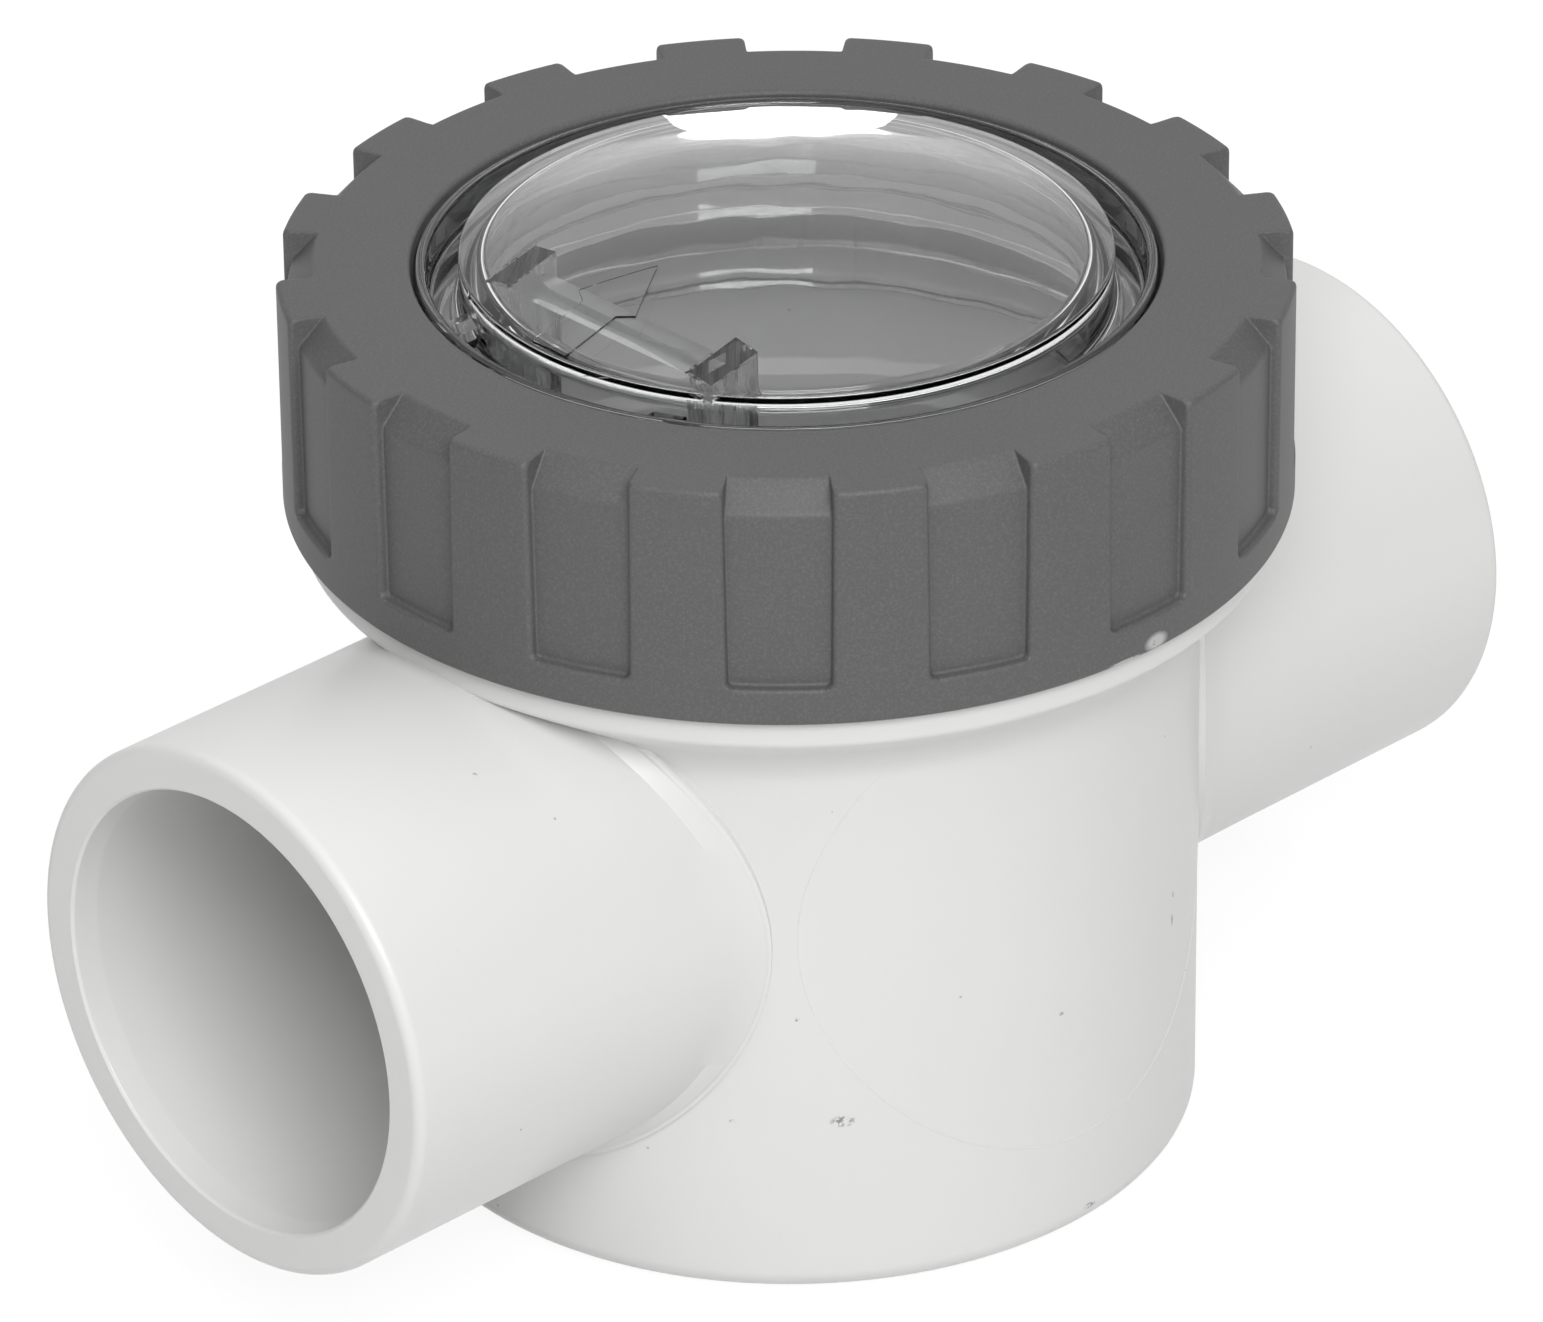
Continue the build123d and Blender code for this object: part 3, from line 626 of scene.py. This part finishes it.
def pot_outside(s):
    """Pot, collar and neck as one turned solid."""
    flare = 7.0  # the hollow curve from the pot's side out to the collar
    low_land, low_end = s.collar_top + 3.4, s.collar_top + 4.6
    high_land, high_end = s.neck_top - 2.0, s.neck_top - 3.0
    top_radius = s.neck_crest - 0.4
    corners = (
        (0, 0, 0),
        (s.pot_radius, 0, s.base_round),
        (s.pot_radius, s.collar_bottom - flare, flare),
        (s.collar_radius, s.collar_bottom, 1.2),
        (s.collar_radius, s.collar_top, 0.4),
        (s.neck_crest, s.collar_top, 0.3),
        (s.neck_crest, low_land, 0.3),
        (s.neck_root, low_end, 0.3),
        (s.neck_root, high_end, 0.3),
        (top_radius, high_land, 0.3),
        (top_radius, s.neck_top, 0.6),
        (0, s.neck_top, 0),
    )
    return turned(divided(rounded(corners)), FINE)


def port_outside(s, side):
    """One port from the pot to its mouth, with the fillet that a ball rolled round it leaves."""
    arc_steps, run_steps = 12, 8
    core, hidden_end = 20, 30  # where the two end faces start, inside the bore and the pot
    deep, sunk = 1.6, 1.003  # the fillet's start lies in the pot, so that the solids cross cleanly
    blend = s.port_blend
    straight_from = s.half_length - s.spigot_length
    straight_to = s.half_length - s.mouth_round
    root = sqrt(s.pot_radius**2 - s.port_radius**2)

    def radius_at(x):
        """Outside radius of the port at a distance from the pot's axis."""
        share = (straight_from - x) / (straight_from - root)
        return s.port_radius + s.root_flare * min(max(share, 0.0), 1.0) ** 2

    corner = (0, s.port_radius, s.mouth_round)
    mouth = rounded(((0, 0, 0), corner, (-9, s.port_radius, 0)))[1:-1]
    bm = bmesh.new()
    sections = []
    for step in range(ROUND):
        angle = 2 * pi * step / ROUND
        outward = Vector((0, sin(angle), cos(angle)))
        radius = s.port_radius
        for _ in range(3):  # the ball's place and the flare under it settle in three rounds
            centre = outward * (radius + blend)
            centre.x = sqrt((s.pot_radius + blend) ** 2 - centre.y**2)
            radius = radius_at(centre.x)
        on_pot = Vector((centre.x, centre.y, 0)) * (-blend / (s.pot_radius + blend))
        on_port = outward * -blend
        points = [outward * core + Vector((hidden_end, 0, 0)), centre + on_pot * deep]
        points += [centre + on_pot.slerp(on_port, k / arc_steps) for k in range(arc_steps + 1)]
        points[2] = centre + on_pot * sunk
        for k in range(1, run_steps + 1):
            x = centre.x + (straight_from - centre.x) * k / run_steps
            points.append(outward * radius_at(x) + Vector((x, 0, 0)))
        for k in range(1, run_steps):
            x = straight_from + (straight_to - straight_from) * k / run_steps
            points.append(outward * s.port_radius + Vector((x, 0, 0)))
        points += [outward * r + Vector((s.half_length + x, 0, 0)) for x, r in reversed(mouth)]
        points.append(outward * core + Vector((s.half_length, 0, 0)))
        sections.append([bm.verts.new((side * p.x, p.y, p.z + PORT_AXIS)) for p in points])
    for first, second in zip(sections, sections[1:] + sections[:1]):
        for index in range(len(first) - 1):
            bm.faces.new((first[index], first[index + 1], second[index + 1], second[index]))
    bm.faces.new([section[0] for section in sections])
    bm.faces.new([section[-1] for section in sections])
    return mesh_from(bm, "port")


def chamber(s):
    """The open space in the pot and neck, less the boss that holds the seat."""
    floor, slope_foot, slope_top = 6.0, 81.2, 83.2
    neck_radius, above = s.chamber_radius + 2, s.neck_top + 1
    corners = (
        (0, floor, 0),
        (s.chamber_radius, floor, 4.0),
        (s.chamber_radius, slope_foot, 0.8),
        (neck_radius, slope_top, 0.8),
        (neck_radius, above, 0),
        (0, above, 0),
    )
    space = turned(divided(rounded(corners)), FINE)
    root, face = -s.chamber_radius - 3, -34.6
    boss = ((0, root, 0), (s.port_radius, root, 0), (s.port_radius, face, 0.6), (0, face, 0))
    boss_mesh = turned(divided(rounded(boss)), ROUND, 1, PORT_AXIS)
    return combined(space, [("DIFFERENCE", boss_mesh)])


def socket(s, side):
    """A pipe socket with its stop and tapered mouth, and the waterway behind it."""
    waterway, inner_end, stop = 27.0, 20.0, 52.0
    taper, lip = 4.0, 0.35  # length of the tapered mouth, and its chamfer
    corners = (
        (0, inner_end, 0),
        (waterway, inner_end, 0),
        (waterway, stop, 0.4),
        (s.socket_radius, stop, 0.3),
        (s.socket_radius, s.half_length - taper, 3.0),
        (s.socket_radius + lip, s.half_length - lip, 0.3),
        (s.socket_radius + 3 * lip, s.half_length + lip, 0),
        (0, s.half_length + lip, 0),
    )
    return turned(divided(rounded(corners)), ROUND, side, PORT_AXIS)


class VALVE_OT_body(Operator):
    """Moulds the white pot with its ports, sockets, collar and neck."""

    bl_idname = "valve.body"
    bl_label = "Valve Body"

    def execute(self, context):
        s = context.scene.valve_body_sizes
        bore, stop, mouth = 31.0, -45.6, -34.0  # radius and ends of the seat insert's bore
        insert_bore = ((0, stop, 0), (bore, stop, 0), (bore, mouth, 0), (0, mouth, 0))
        mesh = combined(
            pot_outside(s),
            [
                ("UNION", port_outside(s, 1)),
                ("UNION", port_outside(s, -1)),
                ("DIFFERENCE", chamber(s)),
                ("DIFFERENCE", socket(s, 1)),
                ("DIFFERENCE", socket(s, -1)),
                ("DIFFERENCE", turned(rounded(insert_bore), along_x=1, height=PORT_AXIS)),
            ],
        )
        white = finish_of("white_upvc")
        finish_piece(
            "moulded_valve_body", mesh, white, "body", ["valve_body"], crease=20
        )
        return {"FINISHED"}


class VALVE_OT_threads(Operator):
    """Lays the right-hand thread round the neck and inside the lock ring."""

    bl_idname = "valve.threads"
    bl_label = "Neck and Ring Threads"

    def execute(self, context):
        neck_radius = context.scene.valve_body_sizes.neck_root + 0.55
        ring_radius = context.scene.valve_ring_sizes.skirt_radius - 0.45
        narrow, wide = 1.4, 3.0
        threads = (
            ("neck_thread", "white_upvc", "body", "white_pvc", neck_radius, 98.6, wide, narrow),
            ("ring_thread", "grey_upvc", "ring", "grey_pvc", ring_radius, 100.6, narrow, wide),
        )
        tree = thread_tree()
        for name, finish, body, slot, radius, start, root, crest in threads:
            material = finish_of(finish)
            sizes = {"Radius": radius, "Start": start, "Root width": root, "Crest width": crest}
            sizes |= {"Pitch": 5.0, "Depth": 1.3, "Turns": 2.3, "Material": material}
            finish_piece(name, shaped(tree, sizes), material, body)
        return {"FINISHED"}


class VALVE_OT_witness_line(Operator):
    """Lays the faint round witness line of the mould on the pot's side."""

    bl_idname = "valve.witness_line"
    bl_label = "Mould Witness Line"

    def execute(self, context):
        s = context.scene.valve_body_sizes
        white = finish_of("white_upvc")
        values = {
            "Pot radius": s.pot_radius - 0.02,  # sunk a trace into the pot's side
            "Line radius": 38.6,
            "Centre": (1.3, 0.0, 53.4),
            "Bead": 0.09,
            "Material": white,
        }
        line = shaped(witness_tree(), values)
        finish_piece("mould_witness_line", line, white, "body")
        return {"FINISHED"}


# The lock ring


def ring_rows(s):
    """Matching points up the grip's and the pocket's face, with each row's pocket half width."""
    outer = s.radius
    pocket_depth = 1.35
    floor = outer - pocket_depth
    sill = RING_BOTTOM + 5.2
    cap = RING_TOP - 6.2  # the underside of the ring's inward lip
    full = s.pocket_half_width
    narrow = full - s.pocket_draft - s.pocket_corner
    rows = []

    def half_width(height):
        """Half of the pocket's width at a height, with draft and rounded lower corners."""
        share = (height - sill) / (RING_TOP - sill)
        side = full - s.pocket_draft * (1 - share)
        below = max(0.0, s.pocket_corner - (height - sill))
        return side - (s.pocket_corner - sqrt(max(0.0, s.pocket_corner**2 - below**2)))

    foot = (outer - 3, RING_BOTTOM, 0)
    for x, z in rounded((foot, (outer, RING_BOTTOM, 0.7), (outer, sill - 1, 0))):
        rows.append(((x, z), (x, z), narrow))
    step_shape = (
        (-0.6, 0.0), (-0.42, 0.03), (-0.26, 0.1), (-0.12, 0.22), (-0.03, 0.4), (0.0, 0.65),
        (0.02, 0.95), (0.08, 1.15), (0.2, 1.28), (0.4, pocket_depth),
    )
    for rise, depth in step_shape:
        width = narrow if rise < 0 else half_width(sill + rise)
        rows.append(((outer, sill + rise), (outer - depth, sill + rise), width))
    for height in (0.55, 0.7, 0.9, 1.4, 4.0, 8.0, 12.0, 16.0, 20.0, 23.0):
        rows.append(((outer, sill + height), (floor, sill + height), half_width(sill + height)))
    # Offsets outwards and upwards from the ring's top edge, for the grip and for its pocket's ramp
    grip_edge = (
        (0, -4.4), (0, -3.9), (0, -3.3), (0, -2.5), (0, -1.7), (0, -0.8), (-0.06, -0.5),
        (-0.23, -0.24), (-0.5, -0.06), (-0.8, 0), (-1.6, 0), (-2.4, 0), (-3.4, 0), (-4.2, 0),
        (-4.9, 0), (-5.4, 0),
    )
    ramp = (
        (0, -4.4), (-0.05, -3.95), (-0.28, -3.6), (-0.66, -3.2), (-1.05, -2.76), (-1.45, -2.3),
        (-1.76, -1.95), (-2.06, -1.6), (-2.35, -1.28), (-2.65, -0.95), (-2.93, -0.64),
        (-3.17, -0.38), (-3.36, -0.19), (-3.55, -0.06), (-3.75, -0.01), (-4.05, 0),
    )
    for (grip_out, grip_up), (ramp_out, ramp_up) in zip(grip_edge, ramp):
        level = RING_TOP + ramp_up
        grip = (outer + grip_out, RING_TOP + grip_up)
        rows.append((grip, (floor + ramp_out, level), half_width(level)))
    inside = rounded(
        (
            (outer - 8, RING_TOP, 0),
            (s.hole_radius, RING_TOP, 0.7),
            (s.hole_radius, cap, 0.3),
            (s.skirt_radius, cap, 1.0),
            (s.skirt_radius, RING_BOTTOM, 0.5),
            foot,
        )
    )
    top_half = half_width(RING_TOP)
    for x, z in inside[:-1]:
        share = (z - RING_BOTTOM) / (RING_TOP - RING_BOTTOM)
        rows.append(((x, z), (x, z), narrow + (top_half - narrow) * share))
    return rows


def pocket_wall(depth, s):
    """Steps (offset, share of depth) across a pocket's side, from the grip's face to the floor."""
    hollow = 0.3  # radius of the corner at the pocket's floor
    convex = min(s.grip_round, depth * 0.6)
    concave = min(hollow, depth * 0.3)
    steps = []
    for k in range(6):
        angle = radians(90 * k / 5)
        steps.append((s.grip_round * (1 - sin(angle)), convex * (1 - cos(angle))))
    for k in range(4):
        angle = radians(90 * k / 3)
        steps.append((-hollow * (1 - cos(angle)) - 0.01, depth - concave * (1 - sin(angle))))
    return [(offset, rise / depth) for offset, rise in steps]


def ring_sector(s):
    """One pocket with half a grip on each side, as rows and columns of one surface."""
    border = pi / s.pockets
    runs = 5  # faces across half a grip, and from a pocket's side to its middle
    bm = bmesh.new()
    grid = []
    for (grip_r, grip_z), (floor_r, floor_z), half in ring_rows(s):
        depth = max(1e-4, sqrt((grip_r - floor_r) ** 2 + (grip_z - floor_z) ** 2))
        wall = pocket_wall(depth, s)
        columns = []
        first = (half + wall[0][0]) / s.radius
        for k in range(runs):
            columns.append((border + (first - border) * k / runs, 0.0))
        columns += [((half + offset) / s.radius, share) for offset, share in wall]
        last = (half + wall[-1][0]) / s.radius
        for k in range(1, runs):
            columns.append((last * (1 - k / runs), 1.0))
        columns = columns + [(0.0, 1.0)] + [(-angle, share) for angle, share in reversed(columns)]
        line = []
        for angle, share in columns:
            radius = grip_r + (floor_r - grip_r) * share
            height = grip_z + (floor_z - grip_z) * share
            line.append(bm.verts.new((radius * cos(angle), radius * sin(angle), height)))
        grid.append(line)
    for low, high in zip(grid, grid[1:] + grid[:1]):
        for k in range(len(low) - 1):
            bm.faces.new((low[k], high[k], high[k + 1], low[k + 1]))
    mesh = bpy.data.meshes.new("sector")
    bm.to_mesh(mesh)
    bm.free()
    return mesh


class VALVE_OT_lock_ring(Operator):
    """Moulds the grey lock ring from one grip sector repeated round the axis."""

    bl_idname = "valve.lock_ring"
    bl_label = "Lock Ring"

    def execute(self, context):
        s = context.scene.valve_ring_sizes
        grey = finish_of("grey_upvc")
        mesh = shaped(repeat_tree(), {"Count": s.pockets, "Material": grey}, ring_sector(s))
        bm = bmesh.new()
        bm.from_mesh(mesh)
        bmesh.ops.recalc_face_normals(bm, faces=bm.faces)
        bm.to_mesh(mesh)
        bm.free()
        finish_piece(
            "moulded_lock_ring", mesh, grey, "ring", ["lock_ring"], crease=40
        )
        return {"FINISHED"}


# The clear lid


def dome_level(s, radius, inset=0.0):
    """Height of the dome's outside, or of a surface inset from it, at a radius."""
    ball = (s.dome_radius**2 + s.dome_rise**2) / (2 * s.dome_rise)
    centre = s.dome_edge + s.dome_rise - ball
    curved = min(radius, s.straight_from)
    rise = sqrt((ball - inset) ** 2 - curved**2)
    return centre + rise - (radius - curved) * curved / rise


def lid_wall(s):
    """Dome, groove, rim, flange and plug as one turned wall."""
    flange_radius, flange_bottom, flange_top = 57.2, 115.1, 119.3
    seal_root = s.plug_radius - 3.9
    seal_low, seal_high = s.seal_height - 2.5, s.seal_height + 2.5
    lead_in = 0.6
    outside = [(r, dome_level(s, r), 0) for r in range(0, 41, 2)]
    outside += [
        (s.dome_radius, dome_level(s, s.dome_radius), 0.45),
        (s.dome_radius, s.groove_floor, 0.9),
        (s.groove_radius, s.groove_floor, 0.9),
        (s.groove_radius, s.rim_top, 0.7),
        (s.rim_radius, s.rim_top, 1.0),
        (s.rim_radius, flange_top, 0.3),
        (flange_radius, flange_top, 0.4),
        (flange_radius, flange_bottom, 0.4),
        (s.plug_radius, flange_bottom, 0.3),
        (s.plug_radius, seal_high, 0.2),
        (seal_root, seal_high, 0.3),
        (seal_root, seal_low, 0.3),
        (s.plug_radius, seal_low, 0.2),
        (s.plug_radius, s.plug_bottom + lead_in, 0),
        (s.plug_radius - lead_in, s.plug_bottom, 0),
        (s.plug_bore, s.plug_bottom, 0.4),
        (s.plug_bore, flange_bottom, 0.5),
    ]
    # The dome's edge is tight outside and rounder inside, which gives its thin bright line
    inner = s.dome_radius - s.wall
    inside = [(inner, flange_bottom, 0.8), (inner, dome_level(s, inner, s.wall), 1.6)]
    inside += [(r, dome_level(s, r, s.wall), 0) for r in range(36, -1, -2)]
    return turned(rounded(outside + inside), ROUND)


def lid_legs(s):
    """The two legs that keep the hinge pin down, their low gussets and the bar between them."""
    foot, gusset_foot, gusset_top = 94.3, 107.3, 115.7  # heights
    below, above = 90.0, 134.0  # clear of the lid, where the turned limit cuts everything off
    back, front, gusset_front = -33.1, -24.9, -25.4
    blocks = []
    for low, high in LEG_SIDES:
        blocks.append(slab((back, low, foot), (front, high, above)))
        blocks.append(slab((GUSSET_BACK, low, gusset_foot), (gusset_front, high, gusset_top)))
    bar_low, bar_high = (-29.6, -17.0, 122.0), (-26.6, 17.0, 125.0)
    blocks.append(slab(bar_low, bar_high))
    legs = combined(blocks[0], [("UNION", block) for block in blocks[1:]])
    middle = s.wall / 2
    dome, plug = s.dome_radius - middle, s.plug_bore + 0.6
    limit = [(0, below, 0), (plug, below, 0), (plug, gusset_top, 0), (dome, gusset_top, 0)]
    limit += [(r, dome_level(s, r, middle), 0) for r in (dome, *range(40, -1, -2))]
    return combined(legs, [("INTERSECT", turned(rounded(limit)))])


def flow_arrow(s):
    """A flat arrow that follows the dome and points along the flow."""
    half = [(-42.4, 3.1), (-33.4, 3.1), (-32.0, 5.3)]
    outline = half + [(-23.0, 0.0)] + [(x, -y) for x, y in reversed(half)]
    below, above = 118.0, 140.0  # clear of the dome, whose skin cuts the plate
    plate = prism(outline, below, above)
    radii = (*range(0, 43, 2), s.dome_radius - 0.4)
    skin = [(r, dome_level(s, r, s.wall / 2), 0) for r in radii]
    skin += [(r, dome_level(s, r, -s.arrow_height), 0) for r in reversed(radii)]
    return combined(plate, [("INTERSECT", turned(rounded(skin), ROUND))])


def groove_bridges(s):
    """Short ribs across the groove, in line with the legs."""
    foot, top, front = 119.0, 123.3, -36.0
    ribs = [slab((GUSSET_BACK, low, foot), (front, high, top)) for low, high in LEG_SIDES]
    inner, outer = s.dome_radius - 1.5, s.groove_radius + 0.8
    below, above = 118.0, 124.0
    ring = ((inner, below, 0), (outer, below, 0), (outer, above, 0), (inner, above, 0))
    limit = turned(rounded(ring))
    return combined(ribs[0], [("UNION", ribs[1]), ("INTERSECT", limit)])


class VALVE_OT_clear_lid(Operator):
    """Moulds the clear lid with its dome, groove, legs, cross bar and flow arrow."""

    bl_idname = "valve.clear_lid"
    bl_label = "Clear Lid"

    def execute(self, context):
        s = context.scene.valve_lid_sizes
        inner_parts = (lid_legs(s), flow_arrow(s), groove_bridges(s))
        mesh = combined(lid_wall(s), [("UNION", part) for part in inner_parts])
        clear = finish_of("moulded_polycarbonate")
        finish_piece("moulded_clear_lid", mesh, clear, "lid", ["clear_lid"], crease=25)
        return {"FINISHED"}


class VALVE_OT_inner_works(Operator):
    """Gives the seat, flapper, hinge and seals inside their finishes."""

    bl_idname = "valve.inner_works"
    bl_label = "Seat, Flapper and Hinge"

    def execute(self, context):
        finishes = {
            "white_upvc": ("seat_insert", "flapper_disc"),
            "grey_upvc": ("seal_retainer",),
            "moulded_epdm": ("seat_o_ring", "lid_o_ring", "flapper_seal"),
            "drawn_stainless": (
                "hinge_pin", "pin_clips", "retainer_screw", "retainer_washer", "retainer_nut",
            ),
            "turned_acetal": ("left_hinge_bush", "right_hinge_bush"),
        }
        for finish, nodes in finishes.items():
            for name in nodes:
                for material_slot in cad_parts[name].material_slots:
                    material_slot.material = finish_of(finish)
        return {"FINISHED"}


# The studio


def place_camera(s):
    """A camera that sees the valve as the photograph does."""
    azimuth, elevation, roll = radians(s.azimuth), radians(s.elevation), radians(s.roll)
    back = Vector((cos(elevation) * cos(azimuth), cos(elevation) * sin(azimuth), sin(elevation)))
    right = Vector((0, 0, 1)).cross(back).normalized()
    up = back.cross(right)
    tilted_right = cos(roll) * right + sin(roll) * up
    tilted_up = cos(roll) * up - sin(roll) * right
    eye = tilted_right * -s.across + tilted_up * -s.upward + back * s.distance
    data = bpy.data.cameras.new("camera")
    data.lens = s.lens
    data.sensor_width = 36.0
    data.sensor_fit = "HORIZONTAL"
    camera = bpy.data.objects.new("camera", data)
    bpy.context.scene.collection.objects.link(camera)
    matrix = Matrix((tilted_right, tilted_up, back)).transposed().to_4x4()
    matrix.translation = eye * MM
    camera.matrix_world = matrix
    bpy.context.scene.camera = camera


def softbox(name, place, width, height, watts, target=(0.0, 0.0, 0.08), shape="RECTANGLE"):
    """An area lamp that looks at the valve; places and sizes are in metres."""
    data = bpy.data.lights.new(name, "AREA")
    data.shape = shape
    data.size, data.size_y = width, height
    data.energy = watts
    lamp = bpy.data.objects.new(name, data)
    bpy.context.scene.collection.objects.link(lamp)
    lamp.location = place
    lamp.rotation_euler = (Vector(place) - Vector(target)).to_track_quat("Z", "Y").to_euler()


def seen_directly(tree):
    """1 for rays from the camera, a mirror-like surface or through glass; 0 for soft light."""
    path = add(tree, "ShaderNodeLightPath").outputs
    seen = path["Is Camera Ray"]
    for kind in ("Is Glossy Ray", "Is Transmission Ray"):
        seen = add(tree, "ShaderNodeMath", {0: seen, 1: path[kind]}, operation="MAXIMUM")
    return seen


def light_room(strength, sky, ceiling, wings):
    """A white room, brighter overhead and dimmer at both sides of the camera's view.

    Its ceiling is dimmer in reflections.
    """
    world = bpy.data.worlds.new("white_room")
    bpy.context.scene.world = world
    world.use_nodes = True
    tree = world.node_tree
    soft = tree.nodes["Background"]
    smooth = {"interpolation_type": "SMOOTHSTEP"}
    direction = add(tree, "ShaderNodeTexCoord").outputs["Generated"]
    height = add(tree, "ShaderNodeSeparateXYZ", {0: direction}).outputs[2]
    rising = {"Value": height, "From Min": 0.25, "To Min": strength, "To Max": strength + sky}
    overhead = add(tree, "ShaderNodeMapRange", rising, **smooth)
    sides = {0: direction, 1: CAMERA_RIGHT}
    sideways = add(tree, "ShaderNodeVectorMath", sides, operation="DOT_PRODUCT").outputs["Value"]
    reach = add(tree, "ShaderNodeMath", {0: sideways}, operation="ABSOLUTE")
    drawn = {"Value": reach, "From Min": 0.35, "To Min": 1.0, "To Max": wings}
    curtain = add(tree, "ShaderNodeMapRange", drawn, **smooth)
    shaded = add(tree, "ShaderNodeMath", {0: overhead, 1: curtain}, operation="MULTIPLY")
    feed(tree, soft, {"Color": (1, 1, 1), "Strength": shaded})
    falling = {"Value": height, "From Min": 0.04, "From Max": 0.3, "To Min": 1.0, "To Max": ceiling}
    dimmed = add(tree, "ShaderNodeMapRange", falling, **smooth)
    # A ray through glass counts as glossy too, and it isn't dimmed
    path = add(tree, "ShaderNodeLightPath").outputs
    rays = {0: path["Is Glossy Ray"], 1: path["Is Transmission Ray"]}
    reflected = add(tree, "ShaderNodeMath", rays, operation="SUBTRACT", use_clamp=True)
    mirrored = add(tree, "ShaderNodeMath", {0: dimmed, 1: curtain}, operation="MULTIPLY")
    brightness = add(tree, "ShaderNodeMix", {0: reflected, 2: 1.0, 3: mirrored})
    white = add(tree, "ShaderNodeBackground", {"Color": (1, 1, 1), "Strength": brightness})
    room = add(tree, "ShaderNodeMixShader", {0: seen_directly(tree), 1: soft, 2: white})
    feed(tree, tree.nodes["World Output"], {"Surface": room})


def studio_floor():
    """A white table top that keeps a trace of the valve's shadow."""
    material = bpy.data.materials.new("studio_floor")
    material.use_nodes = True
    tree = material.node_tree
    shader = tree.nodes["Principled BSDF"]
    feed(tree, shader, {"Base Color": (0.72, 0.72, 0.72), "Roughness": 0.9})
    glow = add(tree, "ShaderNodeEmission", {"Color": (1, 1, 1), "Strength": 1.12})
    glowing = 0.8  # how much of what the camera sees is plain white; the rest keeps the shadow
    share = add(tree, "ShaderNodeMath", {0: seen_directly(tree), 1: glowing}, operation="MULTIPLY")
    top = add(tree, "ShaderNodeMixShader", {0: share, 1: shader, 2: glow})
    feed(tree, tree.nodes["Material Output"], {"Surface": top})
    mesh = slab((-FLOOR_REACH, -FLOOR_REACH, -20), (FLOOR_REACH, FLOOR_REACH, 0))
    mesh.transform(Matrix.Scale(MM, 4))
    mesh.materials.append(material)
    shown("studio_floor", mesh)


class VALVE_OT_studio(Operator):
    """Sets up the camera, the white room, the table top and the two lamps."""

    bl_idname = "valve.studio"
    bl_label = "Studio"

    def execute(self, context):
        s = context.scene.valve_studio
        place_camera(s)
        light_room(s.ambient, s.sky, s.ceiling, s.wings)
        studio_floor()
        softbox("key_softbox", (-0.666, -1.0, 1.0), width=0.9, height=0.5, watts=s.key)
        lid_rim = (0.0, 0.0, 0.105)
        rear = {"width": 0.09, "height": 0.13, "watts": s.rear, "target": lid_rim}
        softbox("rear_lamp", (0.414, 0.4345, 0.105), **rear, shape="ELLIPSE")
        context.scene.view_settings.view_transform = "Standard"
        return {"FINISHED"}


class VALVE_PT_maker(Panel):
    """Lists the valve's pieces and their sizes."""

    bl_label = "Swing Non-Return Valve"
    bl_idname = "VALVE_PT_maker"
    bl_space_type = "VIEW_3D"
    bl_region_type = "UI"
    bl_category = "Valve"

    def draw(self, context):
        layout = self.layout
        for operator in OPERATORS:
            layout.operator(operator.bl_idname)
        for group in SETTINGS:
            settings = getattr(context.scene, group)
            box = layout.box()
            box.label(text=settings.bl_rna.description)
            for name in settings.bl_rna.properties.keys():
                if name not in {"rna_type", "name"}:
                    box.prop(settings, name)


SETTINGS = {
    "valve_body_sizes": ValveBodySizes,
    "valve_ring_sizes": LockRingSizes,
    "valve_lid_sizes": ClearLidSizes,
    "valve_finishes": ValveFinishes,
    "valve_studio": StudioSettings,
}
OPERATORS = (
    VALVE_OT_studio,
    VALVE_OT_body,
    VALVE_OT_threads,
    VALVE_OT_witness_line,
    VALVE_OT_lock_ring,
    VALVE_OT_clear_lid,
    VALVE_OT_inner_works,
)


def register():
    for name, group in SETTINGS.items():
        bpy.utils.register_class(group)
        setattr(bpy.types.Scene, name, PointerProperty(type=group))
    for kind in (*OPERATORS, VALVE_PT_maker):
        bpy.utils.register_class(kind)


def unregister():
    for kind in (VALVE_PT_maker, *reversed(OPERATORS)):
        bpy.utils.unregister_class(kind)
    for name, group in SETTINGS.items():
        delattr(bpy.types.Scene, name)
        bpy.utils.unregister_class(group)


def main():
    register()
    bpy.ops.valve.studio()
    bpy.ops.valve.body()
    bpy.ops.valve.threads()
    bpy.ops.valve.witness_line()
    bpy.ops.valve.lock_ring()
    bpy.ops.valve.clear_lid()
    bpy.ops.valve.inner_works()


if __name__ == "__main__":
    main()
